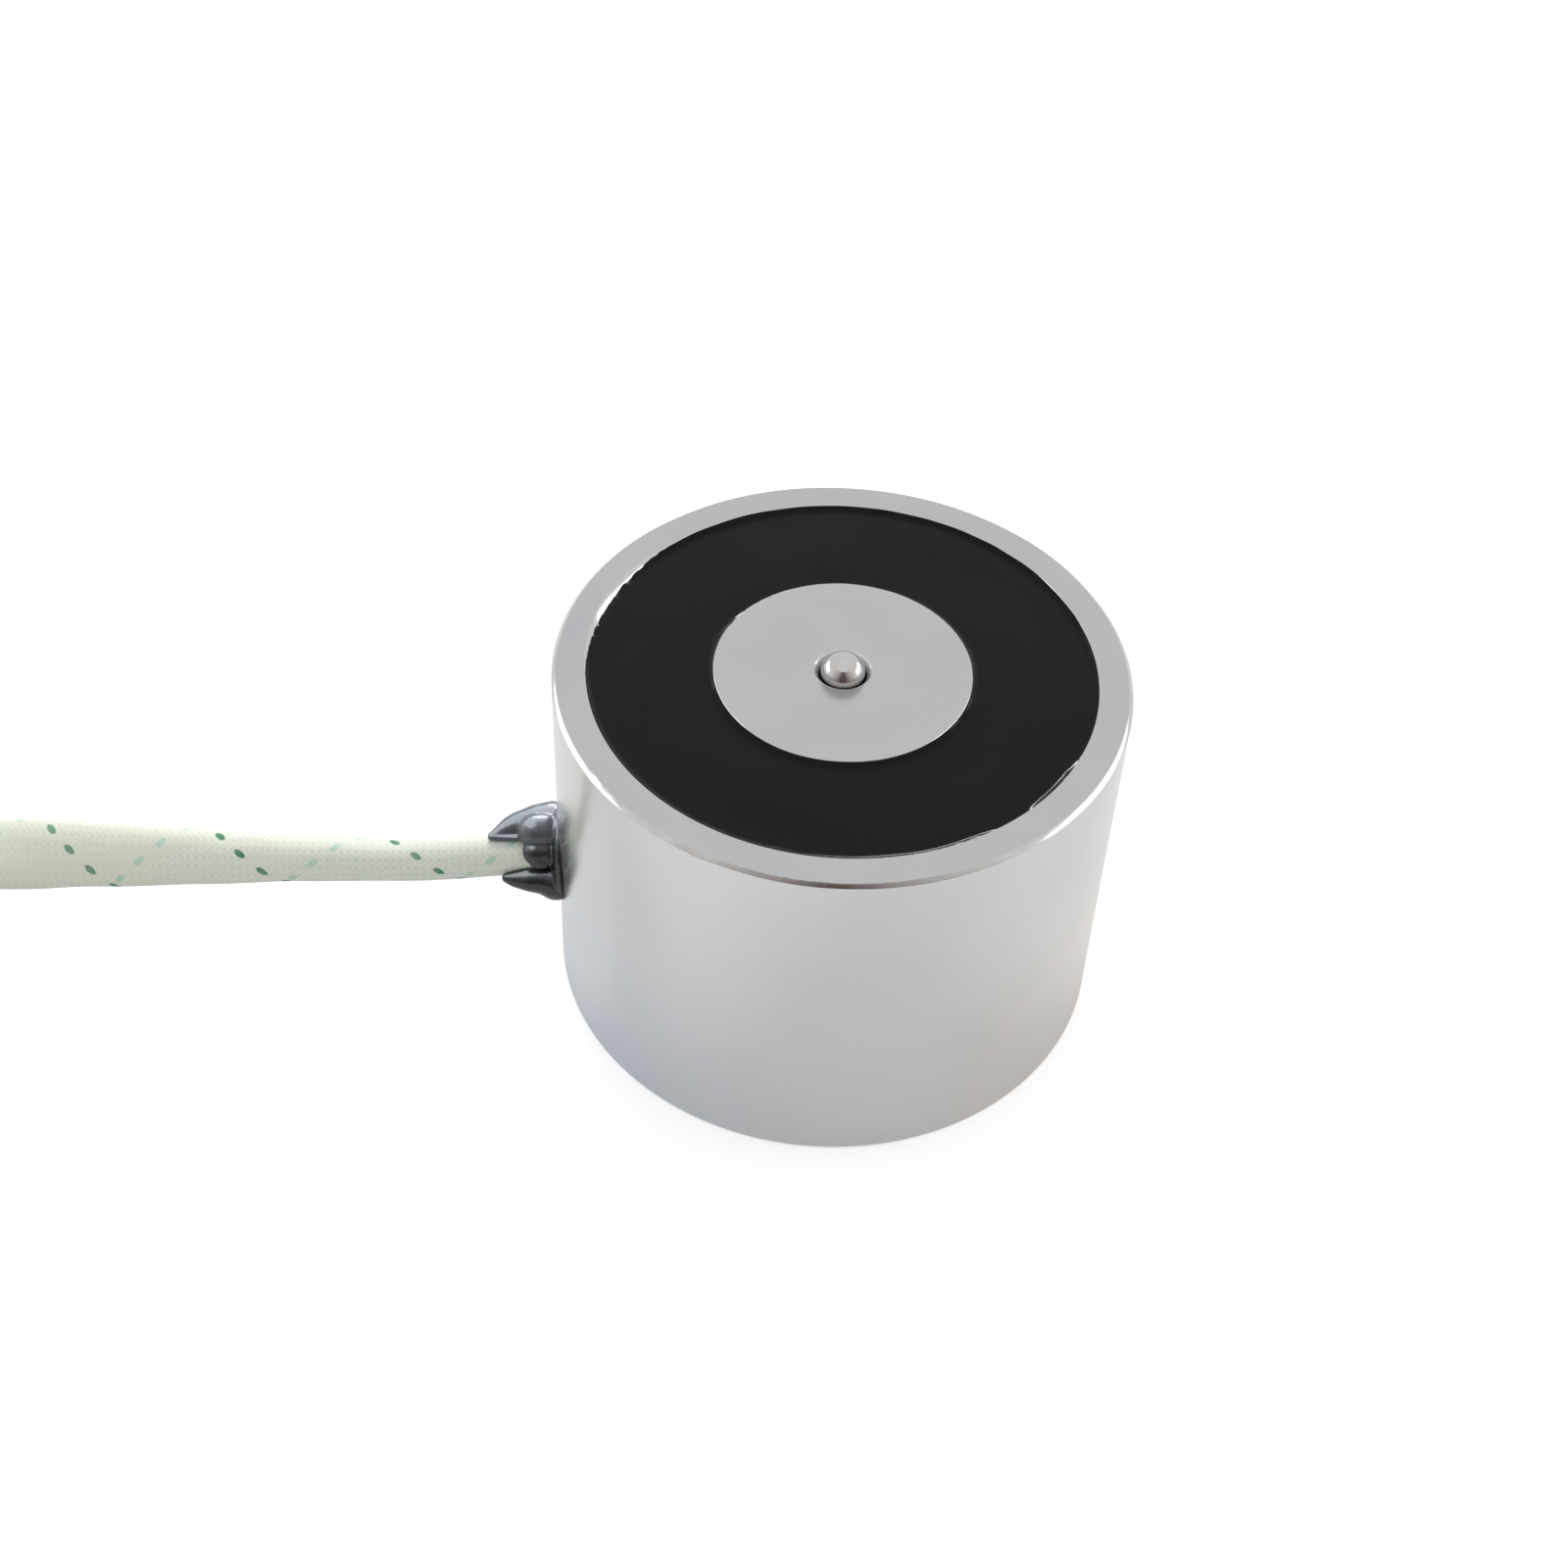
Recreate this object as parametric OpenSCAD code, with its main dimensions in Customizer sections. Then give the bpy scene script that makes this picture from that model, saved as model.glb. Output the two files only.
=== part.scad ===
// Round holding electromagnet, the magnetic gripper of a robot arm.
// A steel pot with a centre pole holds a wound coil under black potting resin.
// A sprung pin in the pole pushes the work off when the coil is switched off.
// Frame: z = 0 is the back face, +Z points out of the holding face along the
// pole's axis, and the lead leaves towards -X.

/* [Pot] */
// Outer diameter of the pot
body_d = 50; // [47:0.5:60]
// Height from the back face to the holding face
body_h = 35; // [33:0.5:50]
// Thickness of the pot's side wall
wall = 3; // [2.5:0.1:3.6]
// Thickness of the pot's floor
floor_t = 6; // [5:0.5:8]
// Diameter of the centre pole
pole_d = 22.4; // [20:0.1:24]
// Chamfer on the pot's two outer edges
outer_chamfer = 0.3; // [0.2:0.1:1]
// Chamfer on the rim's inner edge
bore_chamfer = 0.25; // [0.15:0.05:0.5]
// Edge break on the pole's edge
edge_break = 0.15; // [0.1:0.05:0.5]

/* [Mounting thread] */
// Wall diameter of the tapped hole in the back, M8
thread_d = 6.8; // [6:0.1:8.5]
// Depth of the tapped hole
thread_depth = 12; // [10:0.5:14]
// Countersink at the hole's mouth, measured along the axis
mouth_chamfer = 0.6; // [0.3:0.1:1]

/* [Ejector] */
// Diameter of the bore that holds the spring, tapped M6 at its back end
spring_bore_d = 5; // [4.8:0.1:5.4]
// Diameter of the hole that the pin's nose comes out of
pin_hole_d = 4.1; // [3.6:0.1:4.3]
// Thickness of the steel in front of the pin's shoulder
front_land = 4; // [3:0.5:5]
// Chamfer round the pin's hole in the holding face
hole_chamfer = 0.45; // [0.2:0.05:0.6]
// How far the pin stands out of the holding face, which is also its travel
pin_travel = 1.5; // [1:0.1:3]
// Running clearance of the pin on each side
pin_clearance = 0.08; // [0.03:0.01:0.1]
// Thickness of the pin's shoulder
shoulder_t = 3; // [2:0.5:4]
// Length of the pin's tail, which guides the spring
tail_l = 4; // [3:0.5:4.5]
// Length of the set screw that closes the spring bore
screw_l = 5; // [4:0.5:6]
// Width across flats of the set screw's socket
socket_af = 2.5; // [2:0.1:3]
// Depth of the set screw's socket
socket_depth = 2.5; // [2:0.1:3]
// Diameter of the spring's wire
spring_wire_d = 0.5; // [0.4:0.05:0.6]
// Number of active turns in the spring
spring_turns = 6; // [5:1:7]

/* [Coil] */
// Radial gap between the bobbin and the pole
bobbin_gap = 0.3; // [0.1:0.05:0.5]
// Thickness of the bobbin's tube
bobbin_wall = 0.8; // [0.6:0.1:1.2]
// Thickness of the bobbin's two flanges
flange_t = 1; // [0.8:0.1:1.5]
// Radial gap between the flanges and the pot's wall
flange_gap = 0.5; // [0.2:0.1:0.8]
// Width of the lane for the leads, between the coil and the pot's wall
lane_w = 2.6; // [2.5:0.1:3.5]
// Thickness of the insulating wrap round the winding
wrap_t = 0.35; // [0.2:0.05:0.6]
// Diameter of the enamelled winding wire
magnet_wire_d = 0.5; // [0.3:0.05:0.6]

/* [Potting] */
// Thickness of the resin over the bobbin's top flange
potting_cover = 3.6; // [2.5:0.1:5]
// How far the resin's surface lies below the holding face
potting_recess = 0.5; // [0.3:0.05:0.8]
// How far the resin creeps up the steel at its edges
meniscus_h = 0.3; // [0.1:0.05:0.3]
// Width of the crept edge
meniscus_w = 1.1; // [0.6:0.1:2]

/* [Lead] */
// Height of the lead's exit above the back face
exit_z = 13; // [12:0.5:14]
// Diameter of the exit hole in the pot's wall
exit_hole_d = 5; // [4.6:0.1:6]
// Outer diameter of one insulated lead wire
lead_d = 1.5; // [1.2:0.1:1.6]
// Outer diameter of the tube over each soldered splice
splice_d = 2.2; // [2.1:0.05:2.3]
// Wall of the tube over each soldered splice
splice_wall = 0.3; // [0.2:0.05:0.3]
// Diameter of a tinned wire end and of the solder joint
tinned_d = 0.9; // [0.7:0.1:1.1]
// Length of the tinned end on each lead
tinned_l = 6; // [4:0.5:8]
// Half width of the braided sleeve where it is pulled round
sleeve_round_r = 2; // [1.8:0.1:2.2]
// Half width of the braided sleeve where it lies flat
sleeve_half_w = 3.3; // [2.8:0.1:3.6]
// Half thickness of the braided sleeve where it lies flat
sleeve_half_t = 1.3; // [1.1:0.1:1.5]

/* [Cable seal] */
// Radius of the sealant's foot on the pot
seal_r = 4.6; // [4:0.1:5.5]
// Length of the sealant along the sleeve
seal_l = 6.5; // [5:0.1:8]
// How far the sealant's mound stands off the pot's wall
seal_mound = 2.4; // [1.8:0.1:3]

/* [Hidden] */
$fn = 96;

snug = 0.05;        // gap between fixed pieces that lie against each other
stop_gap = 0.05;    // gap between the pin's shoulder and its stop at rest
spring_play = 0.2;  // radial gap between the spring and its bore
screw_play = 0.03;  // radial gap of the set screw in its tapped hole
screw_lead_in = 0.5;
cut = 1;            // how far a cutting solid runs past the face that it cuts
angle_cut = 1;      // the same along the lane, as an angle
steel = "#c3c4c4";
wire_steel = "#8f9296";
tin = "#d5d6d8";

// Pot and bore
body_r = body_d / 2;
cavity_r = body_r - wall;
pole_r = pole_d / 2;
thread_r = thread_d / 2;
spring_bore_r = spring_bore_d / 2;
pin_hole_r = pin_hole_d / 2;
drill_point = 59;   // half angle of the tapping drill's point
cone_l = (thread_r - spring_bore_r) / tan(drill_point);
step_z = body_h - front_land;

// Ejector: screw, spring and pin stacked in the bore
screw_z = thread_depth + cone_l + snug;
screw_top = screw_z + screw_l;
shoulder_top = step_z - stop_gap;
shoulder_z = shoulder_top - shoulder_t;
shank_r = pin_hole_r - pin_clearance;
shoulder_r = spring_bore_r - pin_clearance;
spring_r = spring_bore_r - spring_play - spring_wire_d / 2;
tail_r = spring_r - spring_wire_d / 2 - spring_play;
spring_z = screw_top + snug / 2;
spring_h = shoulder_z - snug / 2 - spring_z;
close_wound = 1.15; // pitch of the spring's end turns, in wire diameters
closed_pitch = close_wound * spring_wire_d;
all_turns = spring_turns + 2;
open_pitch = (spring_h - spring_wire_d - 2 * closed_pitch) / spring_turns;

// Coil and resin
bobbin_r = pole_r + bobbin_gap;
barrel_r = bobbin_r + bobbin_wall;
flange_r = cavity_r - flange_gap;
wrap_r = cavity_r - lane_w;
winding_r = wrap_r - wrap_t - snug;
resin_z = body_h - potting_recess;
bobbin_top = resin_z - potting_cover;
lower_flange_top = floor_t + flange_t;
upper_flange_z = bobbin_top - flange_t;

// Leads inside the pot: two wires part at the exit and run round the coil
lead_r = lead_d / 2;
splice_r = splice_d / 2;
tinned_r = tinned_d / 2;
magnet_wire_r = magnet_wire_d / 2;
lane_r = (wrap_r + cavity_r) / 2;
lead_half_gap = 0.1;
lead_y = lead_r + lead_half_gap;
elbow_r = 1.5;
elbow_end_y = lead_y + elbow_r;
elbow_end_x = sqrt(lane_r * lane_r - elbow_end_y * elbow_end_y);
elbow_angle = asin(elbow_end_y / lane_r);
lead_run = 26;      // angle of the lane that the insulated lead takes
joint_run = 6;      // the same for the soldered joint
wire_run = 12;      // and for the winding's own wire
lap_on_lead = 4;    // angle of lead that the splice tube covers
lap_on_wire = 3;    // angle of bare wire that it covers
strip_angle = elbow_angle + lead_run;
joint_angle = strip_angle + joint_run;
turn_angle = joint_angle + wire_run;
splice_from = strip_angle - lap_on_lead;
splice_to = joint_angle + lap_on_wire;
lane_spare = 2;     // angle of free lane past the wires
slot_z = floor_t + flange_t / 2;  // height of the start wire in the flange
slot_w = magnet_wire_d + 4 * snug;
wire_bend_r = 0.4;  // corner cut of the winding's wire ends
wire_bend = asin(wire_bend_r / lane_r);

// Sleeve outside the pot. Each point is on the sleeve's centre line.
exit_hole_r = exit_hole_d / 2;
sleeve_inset = 0.2; // from the pot's cavity to the sleeve's hidden end
sleeve_start = -cavity_r - sleeve_inset;
route = [
    [sleeve_start, 0, exit_z], [-28, 0, 13], [-34, 0, 13],
    [-40, 0.3, 12.8], [-46, 1, 12.4], [-52, 1.9, 11.8], [-58, 3, 11],
    [-64, 4.4, 9.9], [-70, 6, 8.6], [-76, 7.7, 7.1], [-82, 9.4, 5.5],
    [-88, 11, 4], [-94, 12.4, 2.7], [-99, 13.4, 1.9]
];
flat_from = -34;    // the sleeve starts to flatten here
flat_to = -84;      // and is flat from here on
roll_from = -68;    // it lies over on its flat side between these two
roll_to = -98;
hang_roll = 45;     // tilt of its flat side while it hangs
coil_centre = [-112, -13];
outer_turn_r = 28;  // centre line of the coil's outer turn
coil_out_r = outer_turn_r + sleeve_half_w;
coil_in_r = 17;
tie_angle = 150;    // where the tie holds the coil
tie_w = 4;
tie_t = 0.7;

// Lead ends inside the coil: distance from the coil's centre and angle
tail_a = [
    [20, 204], [18.6, 218], [17, 234], [15.4, 252], [13.8, 272],
    [12.6, 294], [12, 318], [12, 334]
];
tail_b = [
    [20, 204], [17.4, 216], [14.6, 230], [12, 248], [9.8, 272],
    [8.6, 302], [8.6, 336], [9, 364]
];
// How far each point lifts the lead off the surface that it lies on
tail_lift = [0.55, 0.35, 0.15, 0.01, 0.01, 0.01, 0.01, 0.01];

// Runs of sealant round the sleeve. A blob has its place out along the sleeve,
// as a share of seal_l, and then up, front and radius as shares of seal_r.
// Up and front are at 45 degrees between +Z and the two sides.
seal_flap = [
    [0.09, 0.48, 0.11, 0.51], [0.31, 0.45, 0.13, 0.48], [0.54, 0.41, 0.17, 0.38],
    [0.74, 0.38, 0.22, 0.24], [0.89, 0.33, 0.28, 0.13], [0.96, 0.28, 0.32, 0.08]
];
seal_knuckle = [
    [0.31, 0.33, 0.57, 0.38], [0.32, 0.09, 0.63, 0.29],
    [0.31, -0.13, 0.6, 0.17], [0.32, -0.29, 0.52, 0.08]
];
seal_lip = [
    [0.06, -0.57, 0.09, 0.42], [0.2, -0.51, 0.13, 0.36], [0.42, -0.51, 0.17, 0.27],
    [0.62, -0.52, 0.2, 0.16], [0.75, -0.47, 0.22, 0.08]
];

function ease(u) = u <= 0 ? 0 : u >= 1 ? 1 : u * u * (3 - 2 * u);
function mix(a, b, u) = a + (b - a) * u;
function unit(v) = v / norm(v);
function last(v) = len(v) - 1;
function along(p, i) = unit(p[min(i + 1, last(p))] - p[max(i - 1, 0)]);

// One ring of a swept tube: an oval of two half sizes, rolled by an angle. The
// tube runs along t, and never along up.
function ring(c, t, half, roll, sides, up) =
    let (s = unit(cross(t, up)), u = cross(s, t),
         wide = s * cos(roll) + u * sin(roll),
         thin = u * cos(roll) - s * sin(roll))
    [for (k = [0:sides - 1]) let (a = 360 * k / sides)
        c + wide * half[0] * cos(a) + thin * half[1] * sin(a)];

// A closed tube through rings that all have the same number of points
module skin(rings) {
    n = len(rings[0]);
    m = len(rings);
    points = [for (r = rings) each r];
    sides = [for (i = [0:m - 2], k = [0:n - 1]) let (l = (k + 1) % n)
        [i * n + k, i * n + l, (i + 1) * n + l, (i + 1) * n + k]];
    caps = [[for (k = [n - 1:-1:0]) k], [for (k = [0:n - 1]) (m - 1) * n + k]];
    polyhedron(points, concat(sides, caps), convexity = 10);
}

// A round wire along a list of points
module wire(points, r, sides = 8, up = [0, 0, 1]) {
    skin([for (i = [0:last(points)])
        ring(points[i], along(points, i), [r, r], 0, sides, up)]);
}

// A round wire bent along part of the lane, on the +Y (1) or -Y (-1) side
module lane_wire(r, from, to, side) {
    translate([0, 0, exit_z])
        rotate([0, 0, side > 0 ? 180 - to : 180 + from])
            rotate_extrude(angle = to - from)
                translate([lane_r, 0]) circle(r = r);
}

// A point of the lane at an angle from the lead's exit
function lane_point(angle, r, side, z) =
    [-r * cos(angle), side * r * sin(angle), z];

module rod(p, q, r) {
    d = q - p;
    translate(p)
        rotate([0, acos(d[2] / norm(d)), atan2(d[1], d[0])])
            cylinder(r = r, h = norm(d));
}

// ---- Steel pot with its pole, turned in one piece ----
module magnet_pot() {
    color(steel) difference() {
        rotate_extrude() polygon([
            [thread_r + mouth_chamfer, 0],
            [body_r - outer_chamfer, 0],
            [body_r, outer_chamfer],
            [body_r, body_h - outer_chamfer],
            [body_r - outer_chamfer, body_h],
            [cavity_r + bore_chamfer, body_h],
            [cavity_r, body_h - bore_chamfer],
            [cavity_r, floor_t],
            [pole_r, floor_t],
            [pole_r, body_h - edge_break],
            [pole_r - edge_break, body_h],
            [pin_hole_r + hole_chamfer, body_h],
            [pin_hole_r, body_h - hole_chamfer],
            [pin_hole_r, step_z],
            [spring_bore_r, step_z],
            [spring_bore_r, thread_depth + cone_l],
            [thread_r, thread_depth],
            [thread_r, mouth_chamfer]
        ]);
        translate([-body_r - cut, 0, exit_z]) rotate([0, 90, 0])
            cylinder(r = exit_hole_r, h = wall + 2 * cut);
    }
}

// ---- Coil ----
module coil_bobbin() {
    color("#e8e4d8") difference() {
        rotate_extrude() polygon([
            [bobbin_r, floor_t],
            [flange_r, floor_t],
            [flange_r, lower_flange_top],
            [barrel_r, lower_flange_top],
            [barrel_r, upper_flange_z],
            [flange_r, upper_flange_z],
            [flange_r, bobbin_top],
            [bobbin_r, bobbin_top]
        ]);
        // slot in the lower flange for the start of the winding
        rotate([0, 0, 180 + turn_angle])
            translate([barrel_r, -slot_w / 2, floor_t - cut])
                cube([cavity_r - barrel_r, slot_w, flange_t + 2 * cut]);
    }
}

module coil_winding() {
    color("#b06a3a") translate([0, 0, lower_flange_top + snug])
        difference() {
            cylinder(r = winding_r, h = upper_flange_z - lower_flange_top - 2 * snug);
            translate([0, 0, -cut])
                cylinder(r = barrel_r + snug, h = upper_flange_z - lower_flange_top + 2 * cut);
        }
}

module coil_wrap() {
    color("#d8b44a") difference() {
        translate([0, 0, lower_flange_top + snug]) difference() {
            cylinder(r = wrap_r, h = upper_flange_z - lower_flange_top - 2 * snug);
            translate([0, 0, -cut])
                cylinder(r = winding_r + snug, h = upper_flange_z - lower_flange_top + 2 * cut);
        }
        rod(lane_point(turn_angle, winding_r - cut, 1, exit_z),
            lane_point(turn_angle, wrap_r + cut, 1, exit_z), magnet_wire_r + snug);
    }
}

// Profile of the resin's surface: flat, and crept up at both edges
module resin_profile() {
    steps = 5;
    inner = pole_r + snug;
    outer = cavity_r - snug;
    polygon([
        [inner, bobbin_top + snug],
        for (i = [0:steps]) let (u = i / steps)
            [inner + meniscus_w * u, resin_z + meniscus_h * pow(1 - u, 2)],
        for (i = [0:steps]) let (u = 1 - i / steps)
            [outer - meniscus_w * u, resin_z + meniscus_h * pow(1 - u, 2)],
        [outer, floor_t + snug],
        [flange_r + snug, floor_t + snug],
        [flange_r + snug, lower_flange_top + snug],
        [wrap_r + snug, lower_flange_top + snug],
        [wrap_r + snug, upper_flange_z - snug],
        [flange_r + snug, upper_flange_z - snug],
        [flange_r + snug, bobbin_top + snug]
    ]);
}

module potting() {
    color("#232325") difference() {
        rotate_extrude() resin_profile();
        // room for the wires, splices and the sleeve's end
        for (side = [-1, 1]) {
            lane_wire(splice_r + snug, elbow_angle, turn_angle + lane_spare, side);
            rod(lane_point(turn_angle, wrap_r - cut, side, exit_z),
                lane_point(turn_angle, lane_r, side, exit_z), magnet_wire_r + snug);
        }
        rod(lane_point(turn_angle, lane_r, -1, floor_t - cut),
            lane_point(turn_angle, lane_r, -1, exit_z), magnet_wire_r + snug);
        rotate([0, 0, 180]) translate([wrap_r - cut, -elbow_end_y, exit_z - splice_r])
            cube([lane_w + 2 * cut, 2 * elbow_end_y, splice_d]);
    }
}

// ---- Sprung ejector in the pole ----
module ejector_pin() {
    nose_z = body_h + pin_travel - shank_r;
    color("#b9b6b4") {
        translate([0, 0, nose_z]) sphere(r = shank_r);
        translate([0, 0, shoulder_z]) cylinder(r = shank_r, h = nose_z - shoulder_z);
        translate([0, 0, shoulder_z]) cylinder(r = shoulder_r, h = shoulder_t);
        translate([0, 0, shoulder_z - tail_l]) cylinder(r = tail_r, h = tail_l + cut);
    }
}

// Height of the spring's wire after u turns: closed, open, closed
function spring_rise(u) =
    closed_pitch * min(u, 1) + open_pitch * max(0, min(u - 1, spring_turns))
    + closed_pitch * max(0, u - 1 - spring_turns);

module ejector_spring() {
    per_turn = 14;
    n = per_turn * all_turns;
    color(wire_steel) wire([for (i = [0:n]) let (u = i / per_turn)
        [spring_r * cos(360 * u), spring_r * sin(360 * u),
         spring_z + spring_wire_d / 2 + spring_rise(u)]], spring_wire_d / 2, 6);
}

module spring_screw() {
    r = spring_bore_r - screw_play;
    color("#3a3b3e") difference() {
        translate([0, 0, screw_z]) rotate_extrude() polygon([
            [0, 0],
            [r - screw_lead_in, 0],
            [r, screw_lead_in],
            [r, screw_l - screw_lead_in],
            [r - screw_lead_in, screw_l],
            [0, screw_l]
        ]);
        translate([0, 0, screw_z - cut])
            cylinder(r = socket_af / sqrt(3), h = socket_depth + cut, $fn = 6);
    }
}

// ---- Wires inside the pot: a on the +Y side, b on the -Y side ----
module lead(side) {
    lane_wire(lead_r, elbow_angle, strip_angle, side);
    // bend from the exit into the lane
    translate([-elbow_end_x - elbow_r, side * elbow_end_y, exit_z])
        rotate([0, 0, side > 0 ? -90 : 0]) rotate_extrude(angle = 90)
            translate([elbow_r, 0]) circle(r = lead_r);
}

module solder_joint(side) {
    lane_wire(tinned_r, strip_angle, joint_angle, side);
}

module splice_tube(side) {
    difference() {
        lane_wire(splice_r, splice_from, splice_to, side);
        lane_wire(splice_r - splice_wall, splice_from - angle_cut, splice_to + angle_cut, side);
    }
}

// Points of the lane at a height, at even steps between two angles
function lane_run(from, to, side) = let (steps = 8)
    [for (i = [0:steps]) lane_point(mix(from, to, i / steps), lane_r, side, exit_z)];

// Outer end of the winding: along the lane, then in through the wrap
module finish_wire() {
    color("#b06a3a") wire(concat(
        lane_run(joint_angle, turn_angle - wire_bend, 1),
        [lane_point(turn_angle, lane_r - wire_bend_r, 1, exit_z),
         lane_point(turn_angle, winding_r + snug, 1, exit_z)]
    ), magnet_wire_r);
}

// Inner end of the winding: along the lane, down, and in through the flange's slot
module start_wire() {
    inner_r = barrel_r + magnet_wire_d;
    color("#b06a3a") wire(concat(
        lane_run(joint_angle, turn_angle - wire_bend, -1),
        [lane_point(turn_angle, lane_r, -1, exit_z - wire_bend_r),
         lane_point(turn_angle, lane_r, -1, slot_z + wire_bend_r),
         lane_point(turn_angle, lane_r - wire_bend_r, -1, slot_z),
         lane_point(turn_angle, inner_r + wire_bend_r, -1, slot_z),
         lane_point(turn_angle, inner_r, -1, lower_flange_top)]
    ), magnet_wire_r, 8, lane_point(turn_angle, 1, -1, 1));
}

// ---- Sealant round the lead's exit ----
function seal_place(blob) = [
    -body_r - blob[0] * seal_l,
    (blob[1] - blob[2]) * cos(45) * seal_r,
    exit_z + (blob[1] + blob[2]) * sin(45) * seal_r
];

// Round blobs, each joined to the next
module seal_run(blobs) {
    for (i = [1:last(blobs)])
        hull() for (blob = [blobs[i - 1], blobs[i]])
            translate(seal_place(blob)) sphere(r = blob[3] * seal_r, $fn = 16);
}

module cable_seal() {
    steps = 6;
    color("#1b1b1d") {
        difference() {
            union() {
                // mound on the pot's wall
                translate([-body_r, 0, exit_z]) rotate([0, -90, 0])
                    rotate_extrude($fn = 48) polygon([
                        [0, -wall / 2],
                        [seal_r, -wall / 2],
                        for (i = [0:steps]) let (a = 90 * i / steps)
                            [seal_r * cos(a), seal_mound * sin(a)]
                    ]);
                seal_run(seal_flap);
                seal_run(seal_knuckle);
                seal_run(seal_lip);
            }
            cylinder(r = body_r + snug / 2, h = body_h);
        }
        // sealant pushed into the exit hole
        translate([sleeve_start, 0, exit_z]) rotate([0, -90, 0])
            cylinder(r = exit_hole_r - snug, h = wall + cut);
    }
}

// ---- Braided sleeve with the two lead wires in it ----
function sleeve_half(x) = let (f = ease((flat_from - x) / (flat_from - flat_to)))
    [mix(sleeve_round_r, sleeve_half_w, f), mix(sleeve_round_r, sleeve_half_t, f)];
function sleeve_roll(x) = hang_roll * (1 - ease((roll_from - x) / (roll_from - roll_to)));

module lead_sleeve() {
    color("#dfe6da") skin([for (i = [0:last(route)]) let (x = route[i][0])
        ring(route[i], along(route, i), sleeve_half(x), sleeve_roll(x), 12, [0, 0, 1])]);
}

module tie_loop(gap) {
    high = 2 * sleeve_half_t;
    translate([coil_centre[0], coil_centre[1], 0]) rotate([0, 0, tie_angle])
        translate([0, -tie_w / 2 - gap, 0]) difference() {
            translate([coil_in_r - tie_t - gap, 0, -gap])
                cube([coil_out_r - coil_in_r + 2 * (tie_t + gap), tie_w + 2 * gap,
                      high + tie_t + 2 * gap]);
            translate([coil_in_r + gap, -cut, tie_t + gap])
                cube([coil_out_r - coil_in_r - 2 * gap, tie_w + 2 * cut + 2 * gap,
                      high - tie_t - 2 * gap]);
        }
}

module lead_sleeve_coil() {
    color("#dfe6da") difference() {
        translate([coil_centre[0], coil_centre[1], 0]) rotate_extrude()
            translate([coil_in_r, 0])
                square([coil_out_r - coil_in_r, 2 * sleeve_half_t]);
        tie_loop(snug);
    }
}

module sleeve_tie() {
    color("#f2f2f0") tie_loop(0);
}

// ---- Lead ends that come out of the sleeve ----
function tail_points(tail) = [for (i = [0:last(tail)])
    [coil_centre[0] + tail[i][0] * cos(tail[i][1]),
     coil_centre[1] + tail[i][0] * sin(tail[i][1]),
     lead_r + tail_lift[i]]];

module lead_tail(tail) {
    wire(tail_points(tail), lead_r);
}

module lead_tip(tail) {
    p = tail_points(tail);
    end = p[last(p)];
    way = unit(end - p[last(p) - 1]);
    rod(end, end + way * tinned_l, tinned_r);
}

magnet_pot();
coil_bobbin();
coil_winding();
coil_wrap();
potting();
ejector_pin();
ejector_spring();
spring_screw();
start_wire();
finish_wire();
color(tin) solder_joint(1);  // solder_joint_a
color(tin) solder_joint(-1);  // solder_joint_b
color("#2b2b2d") splice_tube(1);  // splice_tube_a
color("#2b2b2d") splice_tube(-1);  // splice_tube_b
color("#b3201f") lead(1);  // lead_a
color("#1e1f22") lead(-1);  // lead_b
cable_seal();
lead_sleeve();
lead_sleeve_coil();
sleeve_tie();
color("#b3201f") lead_tail(tail_a);  // lead_a_tail
color("#1e1f22") lead_tail(tail_b);  // lead_b_tail
color(tin) lead_tip(tail_a);  // lead_a_tip
color(tin) lead_tip(tail_b);  // lead_b_tip
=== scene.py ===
"""Looks of a round holding electromagnet: plated pot, black resin, sprung pin, braided lead.

Sizes are in millimetres, in the frame of the CAD part, and become metres where a mesh is made.
"""
import math
import random

import bpy
import numpy as np
from mathutils import Matrix, Vector, noise


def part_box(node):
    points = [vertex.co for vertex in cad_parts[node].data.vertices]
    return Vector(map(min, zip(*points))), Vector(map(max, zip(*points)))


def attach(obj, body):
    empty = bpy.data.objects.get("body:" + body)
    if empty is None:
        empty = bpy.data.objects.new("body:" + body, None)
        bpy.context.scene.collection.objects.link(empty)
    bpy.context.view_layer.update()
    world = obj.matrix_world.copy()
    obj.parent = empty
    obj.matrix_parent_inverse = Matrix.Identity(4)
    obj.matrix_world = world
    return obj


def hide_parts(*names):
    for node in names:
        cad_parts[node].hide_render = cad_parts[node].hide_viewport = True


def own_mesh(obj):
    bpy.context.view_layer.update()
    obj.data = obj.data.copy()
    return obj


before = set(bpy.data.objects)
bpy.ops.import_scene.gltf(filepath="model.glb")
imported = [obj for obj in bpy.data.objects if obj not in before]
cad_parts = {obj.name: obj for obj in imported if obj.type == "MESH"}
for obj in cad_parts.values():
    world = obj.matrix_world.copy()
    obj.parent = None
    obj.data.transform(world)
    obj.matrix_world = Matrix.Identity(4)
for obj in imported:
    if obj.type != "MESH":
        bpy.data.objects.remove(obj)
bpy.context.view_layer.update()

MM = 0.001
UP = np.array([0.0, 0.0, 1.0])
random.seed(7)


# ---- Sizes, taken from the frame where it has them ----
def corner(node, high, axis):
    """One coordinate of a CAD node's box, in millimetres."""
    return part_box(node)[high][axis] / MM


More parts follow.
